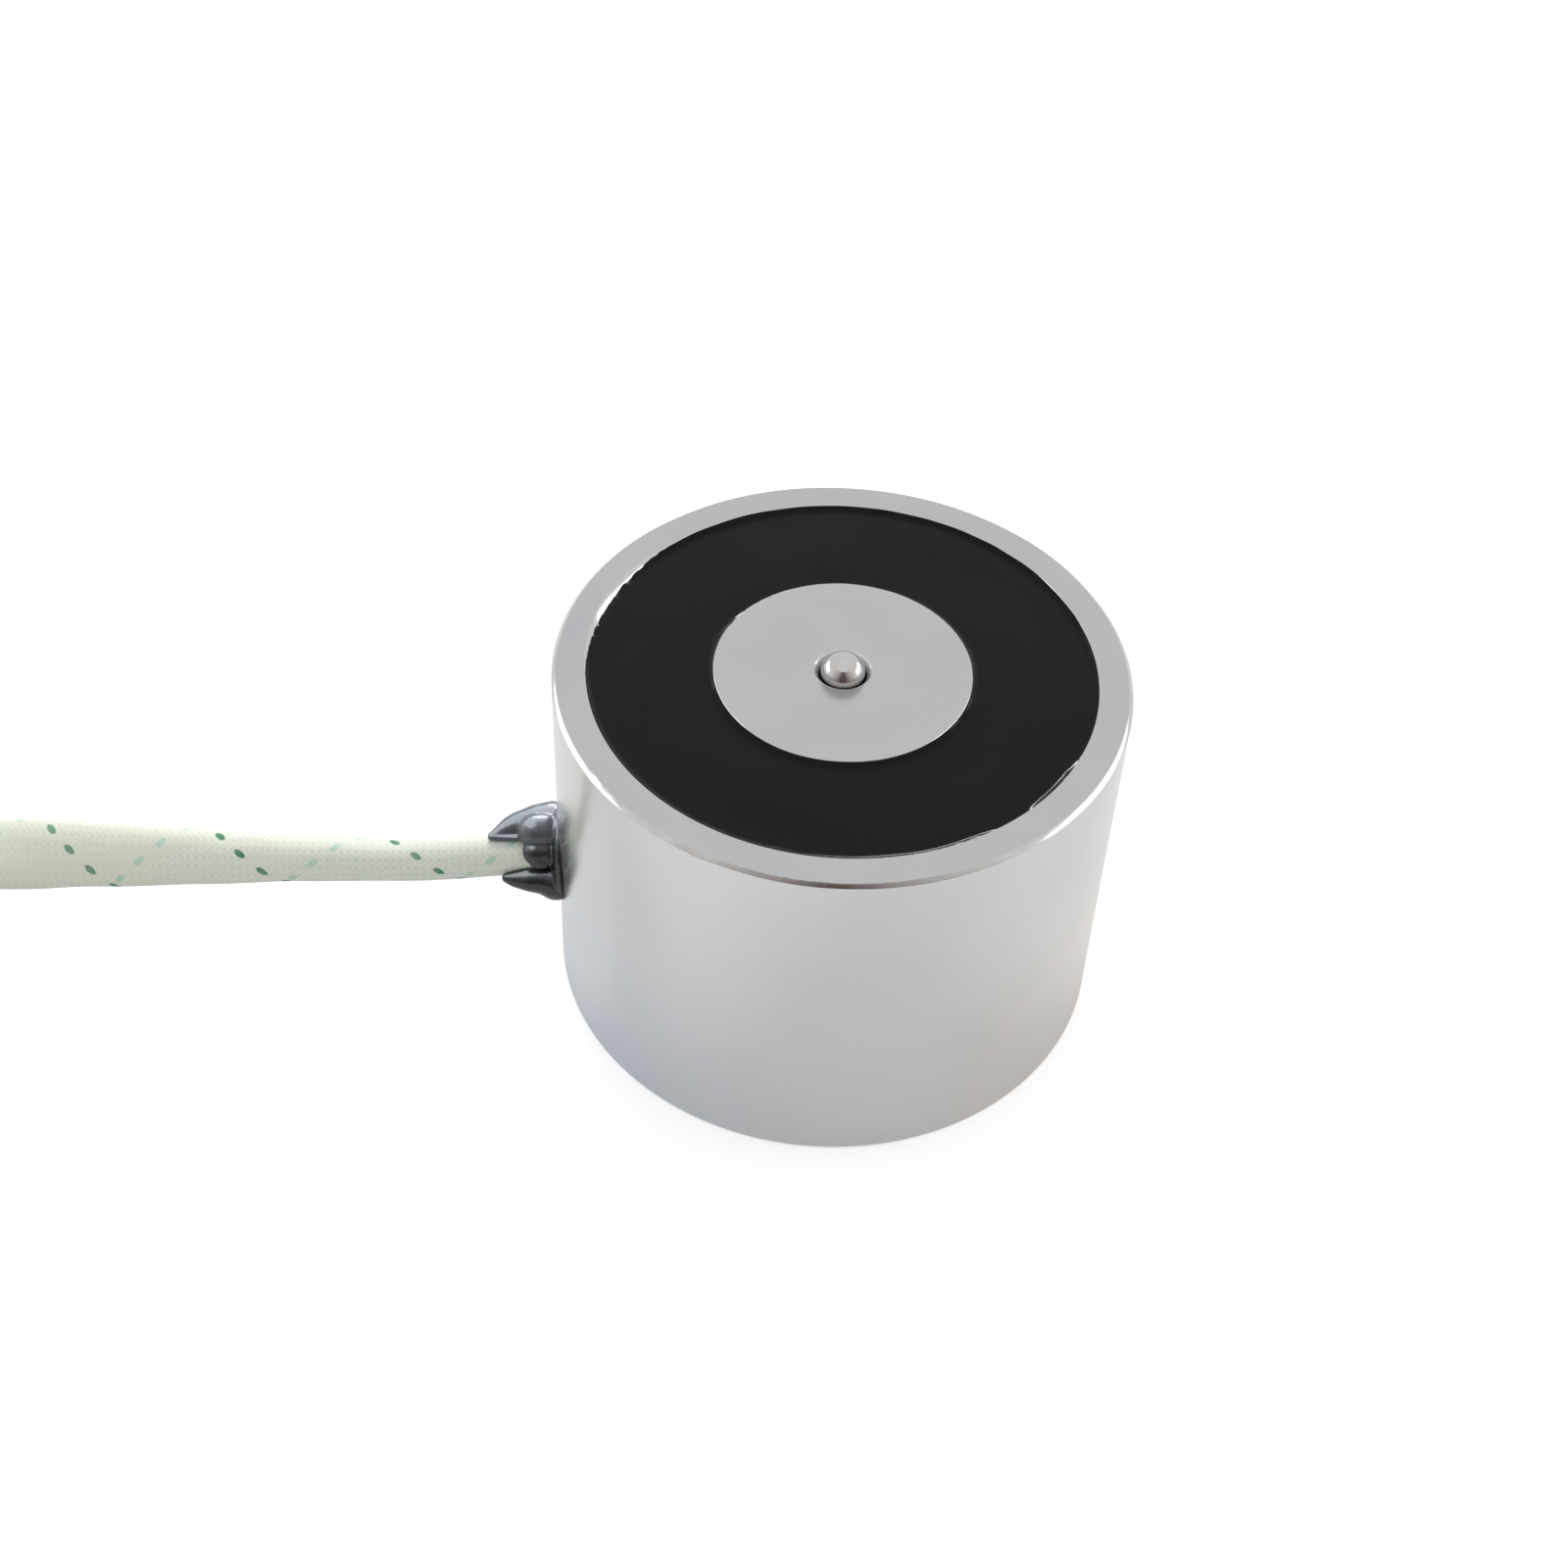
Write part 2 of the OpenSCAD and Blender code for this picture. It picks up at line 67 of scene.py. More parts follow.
POT_R = corner("magnet_pot", 1, 0)
POT_H = corner("magnet_pot", 1, 2)
CAVITY_R = corner("potting", 1, 0) + 0.05
FLOOR_T = corner("coil_bobbin", 0, 2)
FLANGE_T = 1.0
BOBBIN_TOP = 30.9
FLANGE_R = corner("coil_bobbin", 1, 0)
WRAP_R = corner("coil_wrap", 1, 0)
POLE_R = 11.2
RESIN_Z = POT_H - 0.5
PIN_HOLE_R = 2.05
PIN_HOLE_BREAK = 0.45
SPRING_BORE_R = 2.5
BORE_STEP_Z = POT_H - 4
THREAD_R = 3.4
THREAD_DEPTH = 12.0
THREAD_MOUTH = 0.6
THREAD_CONE = 0.54
THREAD_PITCH = 1.25
THREAD_HEIGHT = 0.56
FOOT_EDGE_R = 0.3
RIM_CHAMFER = 0.35
BORE_CHAMFER = 0.06
POLE_EDGE = 0.12

# Uneven edges, as bumps of (degrees round the pot, width, height)
HAND_BROKEN = (155, 19, 0.47)
RIM_NICKS = [(209, 2.5, 0.12), (214, 1.5, 0.08), (237, 2, 0.1)]
POLE_NICK = (146, 2, 0.12)

EXIT = np.array([-POT_R, 0.0, 13.0])
EXIT_HOLE_R = 2.5
LEAD_R = 0.75
TIP_R = 0.45
TIP_L = 6.0

# Sleeve: the route's points are the CAD part's own, and so are the coil and the tails
ROUTE = [
    (-22.2, 0, 13), (-28, 0, 13), (-34, 0, 13),
    (-40, 0.3, 12.8), (-46, 1, 12.4), (-52, 1.9, 11.8), (-58, 3, 11),
    (-64, 4.4, 9.9), (-70, 6, 8.6), (-76, 7.7, 7.1), (-82, 9.4, 5.5),
    (-88, 11, 4), (-94, 12.4, 2.7), (-99, 13.4, 1.9),
]
ROUND_HALF = 1.96
FLAT_HALF = (3.45, 1.3)
FLAT_FROM, FLAT_TO = -38, -84
FLAT_CORNERS = 0.18
SAG, SAG_FROM = 0.55, -25
ROLL_FROM, ROLL_TO = -68, -98
HANG_ROLL = math.radians(45)
COIL_CENTRE = np.array([-112.0, -13.0])
COIL_START, COIL_END = 80, 564
COIL_R, COIL_SHRINK = 28.0, 6.0
COIL_HALF = (2.95, 1.3)
COIL_Z = 1.3
TIE_ANGLE = 150
TIE_W, TIE_T = 4.0, 0.65
TIE_SQUEEZE, TIE_REACH = 0.36, 4.5
TAIL_A = [(20, 204), (18.6, 218), (17, 234), (15.4, 252), (13.8, 272), (12.6, 294), (12, 318),
          (12, 334)]
TAIL_B = [(20, 204), (17.4, 216), (14.6, 230), (12, 248), (9.8, 272), (8.6, 302), (8.6, 336),
          (9, 364)]
TAIL_Z = [1.3, 1.1, 0.9, 0.76, 0.76, 0.76, 0.76, 0.76]

# Resin, as bumps of (degrees, width, share): where it leaves the rim's chamfer bare, one tongue
# of it in there, where it meets the rim in a straight ramp, and where it hardly climbs
RESIN_BARE = (155, 19, 1.9)
RESIN_TONGUE = (147, 1.3, 0.15)
RESIN_SLOPES = [(316, 4.0, 1.3), (323.4, 0.9, 0.975), (294.4, 1.2, 1.17), (290, 1.1, 0.91)]
RESIN_LOW = [(304, 7, 1.3), (338, 13, 1.4)]
RESIN_LOW_AT_POLE = (105, 50, 1.3)
RESIN_RAMP = 0.45

# Braid: yarns each way, length of one turn of a yarn where the sleeve is round and where it
# is flat, how many crossings a yarn floats over, and the two coloured tracer yarns. Its relief
# is modelled over the length that the photo shows, and the rest is thinner by the mean of it.
YARNS = 24
BRAID_TURN = (15.9, 17.8)
FLOAT = 3
DARK_TRACER = 5.0
PALE_TRACER = 7.0
ROW_START = 0.7 / YARNS
BRAID_RELIEF, BRAID_MEAN = 0.05, 0.02
RELIEF_TO, RELIEF_STEP = 62.0, 0.135
COIL_RINGS = 375
DENTS = 0.048
MOUTH_RINGS = ((0, 0.86), (1.5, 0.84), (4.0, 0.8))

# Sealant: runs of round blobs as (out along the lead, up, front, radius). Up and front are at
# 45 degrees between +Z and the two sides, so that front looks out of the photographed side.
SEAL_MOUND = 0.8
SEAL_R = 4.5
SEAL_FLAP = [(0.5, 2.5, 0.3, 2.15), (1.8, 2.6, 0.4, 1.8), (3.6, 2.5, 0.6, 1.25),
             (4.3, 2.3, 0.7, 1.05), (5.4, 1.85, 1.0, 0.6), (6.0, 1.6, 1.15, 0.4)]
SEAL_HEM = [(3.7, 1.35, 1.6, 0.32), (5.0, 1.42, 1.5, 0.3), (6.1, 1.5, 1.3, 0.3)]
SEAL_KNUCKLE = [(0.1, 1.9, 1.8, 1.5), (1.2, 1.95, 2.1, 1.6), (2.05, 1.95, 2.2, 1.6)]
SEAL_DROP = [(1.2, 0.1, 2.3, 1.1), (2.15, 0.1, 2.45, 1.1), (1.85, -0.65, 2.4, 0.8),
             (1.65, -1.1, 2.3, 0.45)]
SEAL_FOLD = [(0.0, 0.7, 2.9, 0.32), (0.65, -0.3, 3.0, 0.3), (1.25, -1.15, 2.6, 0.3)]
SEAL_LIP = [(0.3, -2.7, 0.4, 1.8), (1.3, -2.45, 0.6, 1.5), (2.7, -2.4, 0.8, 1.2),
            (4.0, -2.35, 0.9, 0.8), (4.8, -2.25, 1.0, 0.45)]
SEAL_RUNS = (SEAL_FLAP, SEAL_HEM, SEAL_KNUCKLE, SEAL_DROP, SEAL_FOLD, SEAL_LIP)

# Camera, as it was fitted to the photo: place in metres, and yaw, pitch and roll in degrees
CAMERA_PLACE = (-0.02135, -0.15084, 0.17691)
CAMERA_ANGLES = (6.34, 45.77, 2.93)
CAMERA_LENS = 55.57

# Light: softboxes are this far away, and the dark screen in front spans 120 degrees
LAMP_DISTANCE = 0.8
LAMP_TARGET = Vector((0, 0, 0.02))
SCREEN_MIDDLE = 265
SCREEN_DARK = (0.17, 0.125, 0.12)
SCREEN_LIGHT = (0.92, 0.89, 0.87)


def add(name, data):
    """A new object in the scene."""
    made = bpy.data.objects.new(name, data)
    bpy.context.scene.collection.objects.link(made)
    return made


# ---- Camera, at the photograph's place and angle ----
def make_camera():
    data = bpy.data.cameras.new("camera")
    data.lens = CAMERA_LENS
    data.sensor_width = 36
    data.clip_start = 0.01
    data.clip_end = 20
    camera = add("camera", data)
    yaw, pitch, roll = (math.radians(angle) for angle in CAMERA_ANGLES)
    turn = (Matrix.Rotation(-yaw, 4, "Z") @ Matrix.Rotation(math.pi / 2 - pitch, 4, "X")
            @ Matrix.Rotation(roll, 4, "Z"))
    camera.matrix_world = Matrix.Translation(CAMERA_PLACE) @ turn
    bpy.context.scene.camera = camera
    bpy.context.scene.view_settings.view_transform = "Standard"


# ---- Mesh helpers ----
class Shape:
    """Points and faces of one mesh, gathered part by part, in millimetres."""

    def __init__(self):
        self.points = []
        self.faces = []

    def grid(self, rings, closed=False, caps=True):
        """A tube through rings of equally many points. closed joins its last ring to its first."""
        rings = [np.asarray(r, float) for r in rings]
        start, around, count = len(self.points), len(rings[0]), len(rings)
        self.points += [tuple(p) for r in rings for p in r]
        for i in range(count if closed else count - 1):
            a, b = start + i * around, start + (i + 1) % count * around
            for k in range(around):
                n = (k + 1) % around
                self.faces.append((a + k, a + n, b + n, b + k))
        if caps and not closed:
            self.faces.append(tuple(range(start + around - 1, start - 1, -1)))
            self.faces.append(tuple(range(start + (count - 1) * around, start + count * around)))
        return self

    def piece(self, name, sharp=35):
        """The finished mesh object, in metres, smooth apart from edges sharper than an angle."""
        mesh = bpy.data.meshes.new(name)
        mesh.from_pydata([(x * MM, y * MM, z * MM) for x, y, z in self.points], [], self.faces)
        mesh.shade_smooth()
        mesh.set_sharp_from_angle(angle=math.radians(sharp))
        return add(name, mesh)


def dress(piece, material, replaced=(), body="magnet_body"):
    """Gives a piece its material and body, and hides the CAD nodes that it stands for."""
    if not piece.data.materials:
        piece.data.materials.append(material)
    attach(piece, body)
    if replaced:
        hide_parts(*replaced)
    return piece


def revolve(profile_at, segments=256):
    """Rings of a turned shape. profile_at(angle) gives its (radius, height) points in order."""
    angles = [2 * math.pi * k / segments for k in range(segments)]
    profiles = np.array([profile_at(a) for a in angles])
    cosines, sines = np.cos(angles), np.sin(angles)
    return [np.stack([profiles[:, i, 0] * cosines, profiles[:, i, 0] * sines, profiles[:, i, 1]], 1)
            for i in range(profiles.shape[1])]


def arc(centre, radius, start, end, steps):
    """Points of an arc in the (radius, height) plane, by angles in degrees."""
    return [(centre[0] + radius * math.cos(math.radians(start + (end - start) * i / steps)),
             centre[1] + radius * math.sin(math.radians(start + (end - start) * i / steps)))
            for i in range(steps + 1)]


def ease(u):
    u = np.clip(u, 0, 1)
    return u * u * (3 - 2 * u)


def mix(a, b, u):
    return a + (b - a) * u


def spline(points, steps=12):
    """Points along a smooth curve through the given ones."""
    p = np.array(points, float)
    p = np.vstack([2 * p[0] - p[1], p, 2 * p[-1] - p[-2]])
    out = []
    for i in range(1, len(p) - 2):
        for k in range(steps):
            t = k / steps
            out.append(0.5 * (2 * p[i] + (p[i + 1] - p[i - 1]) * t
                              + (2 * p[i - 1] - 5 * p[i] + 4 * p[i + 1] - p[i + 2]) * t * t
                              + (3 * p[i] - p[i - 1] - 3 * p[i + 1] + p[i + 2]) * t ** 3))
    out.append(p[-2])
    return np.array(out)


def lengths(points):
    """Distance of each point from the first, along the line."""
    return np.concatenate([[0], np.cumsum(np.linalg.norm(np.diff(points, axis=0), axis=1))])


def at_lengths(points, wanted):
    """The line's points at the wanted distances along it."""
    run = lengths(points)
    return np.stack([np.interp(wanted, run, points[:, k]) for k in range(3)], 1)


def frames(line):
    """For each point of a line: its direction, the level direction across it, and the third."""
    along = np.gradient(line, axis=0)
    along /= np.linalg.norm(along, axis=1)[:, None]
    side = np.cross(along, UP)
    side /= np.linalg.norm(side, axis=1)[:, None]
    return along, side, np.cross(side, along)


def tube_rings(line, radius, around=16):
    """Rings of a round tube. radius is one number or one for each point."""
    _, side, up = frames(line)
    radius = np.broadcast_to(radius, len(line))
    turn = 2 * np.pi * np.arange(around) / around
    return [line[i] + radius[i] * (np.outer(np.cos(turn), side[i]) + np.outer(np.sin(turn), up[i]))
            for i in range(len(line))]


# ---- Material helpers ----
class Look:
    """A material with one Principled shader. Coordinates are the part's own, in millimetres."""

    def __init__(self, name, values):
        self.material = bpy.data.materials.new(name)
        self.material.use_nodes = True
        self.tree = self.material.node_tree
        self.shader = self.tree.nodes["Principled BSDF"]
        for socket, value in values.items():
            self.shader.inputs[socket].default_value = value
        place = self.node("ShaderNodeTexCoord").outputs["Object"]
        self.place = self.node("ShaderNodeVectorMath", [place, (1 / MM,) * 3],
                               operation="MULTIPLY").outputs[0]

    def node(self, kind, inputs=(), **settings):
        """A new node, with its first inputs set to values or linked to outputs."""
        made = self.tree.nodes.new(kind)
        for key, value in settings.items():
            setattr(made, key, value)
        for socket, value in zip(made.inputs, inputs):
            self.put(socket, value)
        return made

    def put(self, socket, value):
        if isinstance(value, bpy.types.NodeSocket):
            self.tree.links.new(value, socket)
        elif value is not None:
            socket.default_value = value

    def set(self, socket, value):
        self.put(self.shader.inputs[socket], value)

    def math(self, operation, a, b=None):
        return self.node("ShaderNodeMath", [a, b], operation=operation).outputs[0]

    def plus(self, a, b):
        return self.math("ADD", a, b)

    def minus(self, a, b):
        return self.math("SUBTRACT", a, b)

    def times(self, a, b):
        return self.math("MULTIPLY", a, b)

    def noise(self, scale, detail=2.0, place=None):
        """Noise from 0 to 1, with about scale bumps in a millimetre."""
        made = self.node("ShaderNodeTexNoise")
        self.put(made.inputs["Vector"], place or self.place)
        made.inputs["Scale"].default_value = scale
        made.inputs["Detail"].default_value = detail
        return made.outputs["Fac"]

    def remap(self, value, low, high, to_low=0.0, to_high=1.0):
        made = self.node("ShaderNodeMapRange", [value, low, high, to_low, to_high])
        return made.outputs[0]

    def blend(self, factor, a, b):
        """Colour a where the factor is 0 and b where it is 1."""
        made = self.node("ShaderNodeMix", data_type="RGBA")
        for socket, value in zip([made.inputs[0], made.inputs[6], made.inputs[7]], [factor, a, b]):
            self.put(socket, (*value, 1) if isinstance(value, tuple) else value)
        return made.outputs[2]

    def bump(self, height, depth):
        """Bumps of a depth in millimetres, on top of those set before."""
        made = self.node("ShaderNodeBump")
        made.inputs["Distance"].default_value = depth * MM
        self.put(made.inputs["Height"], height)
        before = self.shader.inputs["Normal"].links
        if before:
            self.put(made.inputs["Normal"], before[0].from_socket)
        self.put(self.shader.inputs["Normal"], made.outputs[0])

    def parts(self):
        """The x, y and z of a point."""
        return self.node("ShaderNodeSeparateXYZ", [self.place]).outputs


def turned(look, amount):
    """Makes reflections longer across the fine grooves that a lathe leaves round the axis."""
    around = look.node("ShaderNodeTangent", direction_type="RADIAL", axis="Z")
    look.set("Tangent", around.outputs[0])
    look.shader.inputs["Anisotropic"].default_value = amount
    look.shader.inputs["Anisotropic Rotation"].default_value = 0.25


def scratch(look, x, z):
    """A short faint scratch on the photographed side of the wall: 1 on it, 0 elsewhere."""
    x = look.minus(x, -9.5)
    z = look.minus(look.minus(z, 31.75), look.times(x, 0.12))
    across = look.plus(look.math("ABSOLUTE", look.times(z, 9.0)),
                       look.math("ABSOLUTE", look.times(x, 1.3)))
    return look.remap(look.plus(across, look.noise(5.0, 2.0)), 1.3, 0.5)


def plated_side():
    """Bright plating over a turned wall: soft, with painted reflection in faint bluish and brownish
    zones low on its two sides.
    """
    look = Look("plated_side", {"Metallic": 1.0, "Roughness": 0.27})
    turned(look, 0.45)
    x, y, z = look.parts()
    front = look.remap(y, 2.0, -2.0)
    cloud = look.noise(0.05, 2.0)
    base = look.blend(look.remap(cloud, 0.3, 0.7), (0.625, 0.630, 0.630), (0.665, 0.665, 0.655))
    # Painted reflection: bluish low on the left side and brownish low on the right side, fading out
    # upwards.
    low = look.remap(z, 26.0, 2.0)
    painted_cold_reflection = look.times(low, look.remap(x, -4.0, -19.0))
    painted_warm_reflection = look.times(low, look.remap(x, 6.0, 20.0))
    base = look.blend(look.times(painted_cold_reflection, 0.6), base, (0.58, 0.625, 0.72))
    base = look.blend(look.times(painted_warm_reflection, 0.6), base, (0.70, 0.61, 0.55))
    mark = look.times(look.times(scratch(look, x, z), front), 0.35)
    base = look.blend(mark, base, (0.35, 0.35, 0.35))
    look.set("Base Color", base)
    look.set("Roughness", look.remap(look.noise(0.3, 2.0), 0.3, 0.7, 0.24, 0.27))
    look.bump(look.noise(0.06, 1.0), 0.04)
    return look.material


def ground_face():
    """The rim's and the pole's flat holding faces, finely ground."""
    look = Look("ground_face", {"Metallic": 1.0, "Roughness": 0.2})
    cloud = look.noise(0.09, 3.0)
    base = look.blend(look.remap(cloud, 0.3, 0.7), (0.465, 0.470, 0.485), (0.50, 0.50, 0.50))
    look.set("Base Color", base)
    look.set("Roughness", look.remap(look.noise(2.0, 3.0), 0.3, 0.7, 0.19, 0.22))
    look.bump(look.noise(6.0, 3.0), 0.0005)
    return look.material


def resin_look():
    """Black potting resin, poured level and glossy."""
    look = Look("resin", {"Roughness": 0.1, "IOR": 1.2})
    cloud = look.noise(0.08, 2.0)
    base = look.blend(look.remap(cloud, 0.3, 0.7), (0.0040, 0.0040, 0.0050), (0.0060, 0.0050, 0.0046))
    look.set("Base Color", base)
    haze = look.noise(0.2, 3.0)
    look.set("Roughness", look.remap(haze, 0.3, 0.7, 0.08, 0.15))
    look.bump(look.noise(0.25, 1.0), 0.01)
    return look.material


def sealant_look():
    """Black rubbery sealant, smooth on its skin, with painted light: its upper side is painted a lighter
    bluish grey.
    """
    look = Look("sealant", {"Roughness": 0.12, "IOR": 1.6})
    cloud = look.noise(0.6, 2.0)
    base = look.blend(look.remap(cloud, 0.3, 0.7), (0.008, 0.009, 0.012), (0.014, 0.015, 0.018))
    _, y, z = look.parts()
    # Painted light from above: points higher up and further back are painted a lighter bluish grey.
    up = look.plus(look.minus(z, float(EXIT[2])), y)
    upper = look.remap(look.plus(up, look.times(cloud, 0.8)), 1.1, 2.4)
    base = look.blend(upper, base, look.blend(cloud, (0.060, 0.070, 0.085), (0.085, 0.097, 0.115)))
    look.set("Base Color", base)
    look.set("Roughness", look.remap(look.noise(0.5, 2.0), 0.35, 0.65, 0.2, 0.32))
    look.bump(look.noise(1.5, 2.0), 0.012)
    return look.material


def polished_steel():
    """The pin's hardened, polished nose."""
    look = Look("polished_steel", {"Metallic": 1.0, "Roughness": 0.06})
    base = look.blend(look.remap(look.noise(0.8), 0.3, 0.7), (0.50, 0.485, 0.475), (0.55, 0.54, 0.53))
    look.set("Base Color", base)
    look.set("Roughness", look.remap(look.noise(2.0, 3.0), 0.3, 0.7, 0.04, 0.10))
    look.bump(look.noise(6.0, 3.0), 0.0006)
    return look.material


def mottled(look, patch, dark, light, shine, grain, depth):
    """Finishes a plain look: a mottled colour, roughness between two values, and a fine grain."""
    look.set("Base Color", look.blend(look.remap(look.noise(patch, 3.0), 0.3, 0.7), dark, light))
    look.set("Roughness", look.remap(look.noise(grain, 3.0), 0.3, 0.7, *shine))
    look.bump(look.noise(grain, 3.0), depth)
    return look.material


def metal(name, dark, light, roughness):
    look = Look(name, {"Metallic": 1.0, "Roughness": roughness})
    return mottled(look, 0.7, dark, light, (roughness * 0.8, roughness * 1.3), 4.0, 0.004)


def plastic(name, dark, light, roughness):
    look = Look(name, {"Roughness": roughness, "IOR": 1.5})
    return mottled(look, 0.5, dark, light, (roughness * 0.85, roughness * 1.2), 2.0, 0.006)


def winding_look():
    """Enamelled copper wire, wound in close turns one above the other."""
    look = Look("winding", {"Metallic": 1.0, "Roughness": 0.25})
    drawn_pitch = 0.5
    z = look.parts()[2]
    turns = look.math("SINE", look.times(z, 2 * math.pi / drawn_pitch))
    # Painted shade: the colour is dark in the grooves between the turns.
    base = look.blend(look.remap(turns, -1.0, 0.4), (0.16, 0.05, 0.02), (0.60, 0.25, 0.10))
    look.set("Base Color", base)
    look.bump(turns, 0.12)
    look.bump(look.noise(2.0), 0.01)
    return look.material


def braid_look():
    """White glass-fibre braid with dark green and pale green tracer yarns."""
    look = Look("braid", {"Roughness": 0.5, "IOR": 1.5, "Sheen Weight": 0.25,
                          "Sheen Roughness": 0.4})
    turn, run, _ = look.node("ShaderNodeSeparateXYZ", [
        look.node("ShaderNodeUVMap", uv_map="braid").outputs[0]]).outputs
    yarns = float(YARNS)
    a = look.times(look.minus(run, turn), yarns)
    b = look.times(look.plus(run, turn), yarns)

    def yarn(across, along):
        """A yarn's height, which is most on its middle and where it lies over others."""
        number = look.math("FLOOR", across)
        within = look.minus(look.math("FRACT", across), 0.5)
        crown = look.minus(1.0, look.times(look.times(within, within), 4.0))
        phase = look.minus(along, look.plus(number, 0.5))
        wave = look.math("SINE", look.times(phase, math.pi / FLOAT))
        return look.plus(crown, look.times(wave, 0.9))

    high_a = yarn(a, b)
    high_b = yarn(b, a)
    a_on_top = look.math("GREATER_THAN", high_a, high_b)
    top = look.math("MAXIMUM", high_a, high_b)

    def tracer(across, along, which):
        """1 where a coloured yarn lies on top, 0 elsewhere."""
        away = look.minus(across, which + 0.5 - yarns / 2)
        away = look.minus(look.math("FLOORED_MODULO", away, yarns), yarns / 2)
        phase = look.times(look.minus(along, which + 0.5), math.pi / FLOAT)
        rounding = look.times(look.times(away, away), 1.7)
        return look.remap(look.minus(look.math("SINE", phase), rounding), 0.0, 0.35)

    fibres = look.node("ShaderNodeCombineXYZ", [look.times(a, 6.0),
                                                look.times(b, 0.35), 0.0])
    fibres_b = look.node("ShaderNodeCombineXYZ", [look.times(a, 0.35),
                                                  look.times(b, 6.0), 5.0])
    strand_a = look.noise(1.0, 2.0, fibres.outputs[0])
    strand_b = look.noise(1.0, 2.0, fibres_b.outputs[0])
    strand = look.plus(look.times(strand_a, a_on_top),
                       look.times(strand_b, look.minus(1.0, a_on_top)))
    white = look.blend(look.remap(strand, 0.3, 0.7), (0.68, 0.715, 0.64), (0.75, 0.785, 0.71))
    # Painted shade: darker where the yarns dip under each other.
    white = look.blend(look.remap(top, 1.0, 0.2), white, (0.56, 0.59, 0.51))
    x = look.parts()[0]
    # Darker and yellower further out along the lead.
    yellower_further_out = look.remap(x, -35.0, -95.0, 0.0, 0.8)
    white = look.blend(yellower_further_out, white, (0.585, 0.60, 0.47))
    white = look.blend(look.times(look.noise(0.12, 2.0), 0.3), white, (0.59, 0.635, 0.505))
    fade = look.remap(look.noise(0.35, 1.0), 0.35, 0.65, 0.75, 1.0)
    dark = look.times(tracer(b, a, DARK_TRACER), fade)
    pale = look.times(tracer(a, b, PALE_TRACER), look.times(fade, 0.55))
    colour = look.blend(pale, white, (0.22, 0.52, 0.36))
    colour = look.blend(dark, colour, (0.022, 0.18, 0.085))
    look.set("Base Color", colour)
    look.bump(top, 0.022)
    look.bump(strand, 0.012)
    return look.material


# ---- Pot ----
def bump(degrees, at, width, height):
    """A smooth bump of a height at one angle round the pot."""
    away = (degrees - at + 180) % 360 - 180
    return height * math.exp(-(away / width) ** 2)


def bumps(degrees, places):
    """The sum of bumps given as (at, width, height)."""
    return sum(bump(degrees, *place) for place in places)


def wobble(angle, scale, seed):
    """Smooth noise round the part's axis, about -1 to 1."""
    return 2 * noise.noise(Vector((math.cos(angle) * scale, math.sin(angle) * scale, seed)))


def thread_radius(angle, z):
    """Radius of the tapped hole's wall: a 60 degree groove that runs out at both ends."""
    phase = (z / THREAD_PITCH - angle / (2 * math.pi)) % 1
    groove = max(0.0, 1 - abs(phase - 0.5) / 0.44) ** 0.9
    fade = ease((z - THREAD_MOUTH) / 1.0) * ease((THREAD_DEPTH - z) / 1.6)
    return THREAD_R + THREAD_HEIGHT * min(1.0, groove * 1.15) * fade


def bore_chamfer(degrees):
    """Chamfer on the rim's inner edge, wider in one stretch that was broken by hand."""
    return BORE_CHAMFER + bump(degrees, *HAND_BROKEN)


def chamfered(radius, height, size, rounding=0.06):
    """A turned part's top outer corner with a 45 degree chamfer whose two edges are rounded."""
    tangent = rounding * math.tan(math.radians(22.5))
    lower = (radius - rounding, height - size - tangent)
    upper = (radius - size - tangent, height - rounding)
    return arc(lower, rounding, 0, 45, 3) + arc(upper, rounding, 45, 90, 3)


def pot_profile(angle):
    """The turned pot's section: back, wall, rim, coil space, pole and stepped bore."""
    degrees = math.degrees(angle)
    edge = RIM_CHAMFER + 0.03 * wobble(angle, 3, 0) + bumps(degrees, RIM_NICKS)
    chamfer = bore_chamfer(degrees)
    pole = POLE_EDGE + 0.03 * wobble(angle, 5, 7) + bump(degrees, *POLE_NICK)
    bore_foot = THREAD_DEPTH + THREAD_CONE
    thread = [(thread_radius(angle, z), z)
              for z in np.linspace(THREAD_DEPTH, THREAD_MOUTH, 92)]
    return ([(THREAD_R + THREAD_MOUTH, 0)]
            + arc((POT_R - FOOT_EDGE_R, FOOT_EDGE_R), FOOT_EDGE_R, -90, 0, 6)
            + chamfered(POT_R, POT_H, edge)
            + [(CAVITY_R + chamfer + 0.02, POT_H), (CAVITY_R + chamfer - 0.02, POT_H - 0.02),
               (CAVITY_R + 0.02, POT_H - chamfer), (CAVITY_R, POT_H - chamfer - 0.03),
               (CAVITY_R, FLOOR_T), (POLE_R, FLOOR_T)]
            + arc((POLE_R - pole, POT_H - pole), pole, 0, 90, 4)
            + [(PIN_HOLE_R + PIN_HOLE_BREAK + 0.06, POT_H),
               (PIN_HOLE_R + PIN_HOLE_BREAK, POT_H - 0.03),
               (PIN_HOLE_R + 0.03, POT_H - PIN_HOLE_BREAK),
               (PIN_HOLE_R, POT_H - PIN_HOLE_BREAK - 0.06),
               (PIN_HOLE_R, BORE_STEP_Z),
               (SPRING_BORE_R, BORE_STEP_Z), (SPRING_BORE_R, bore_foot)]
            + thread)


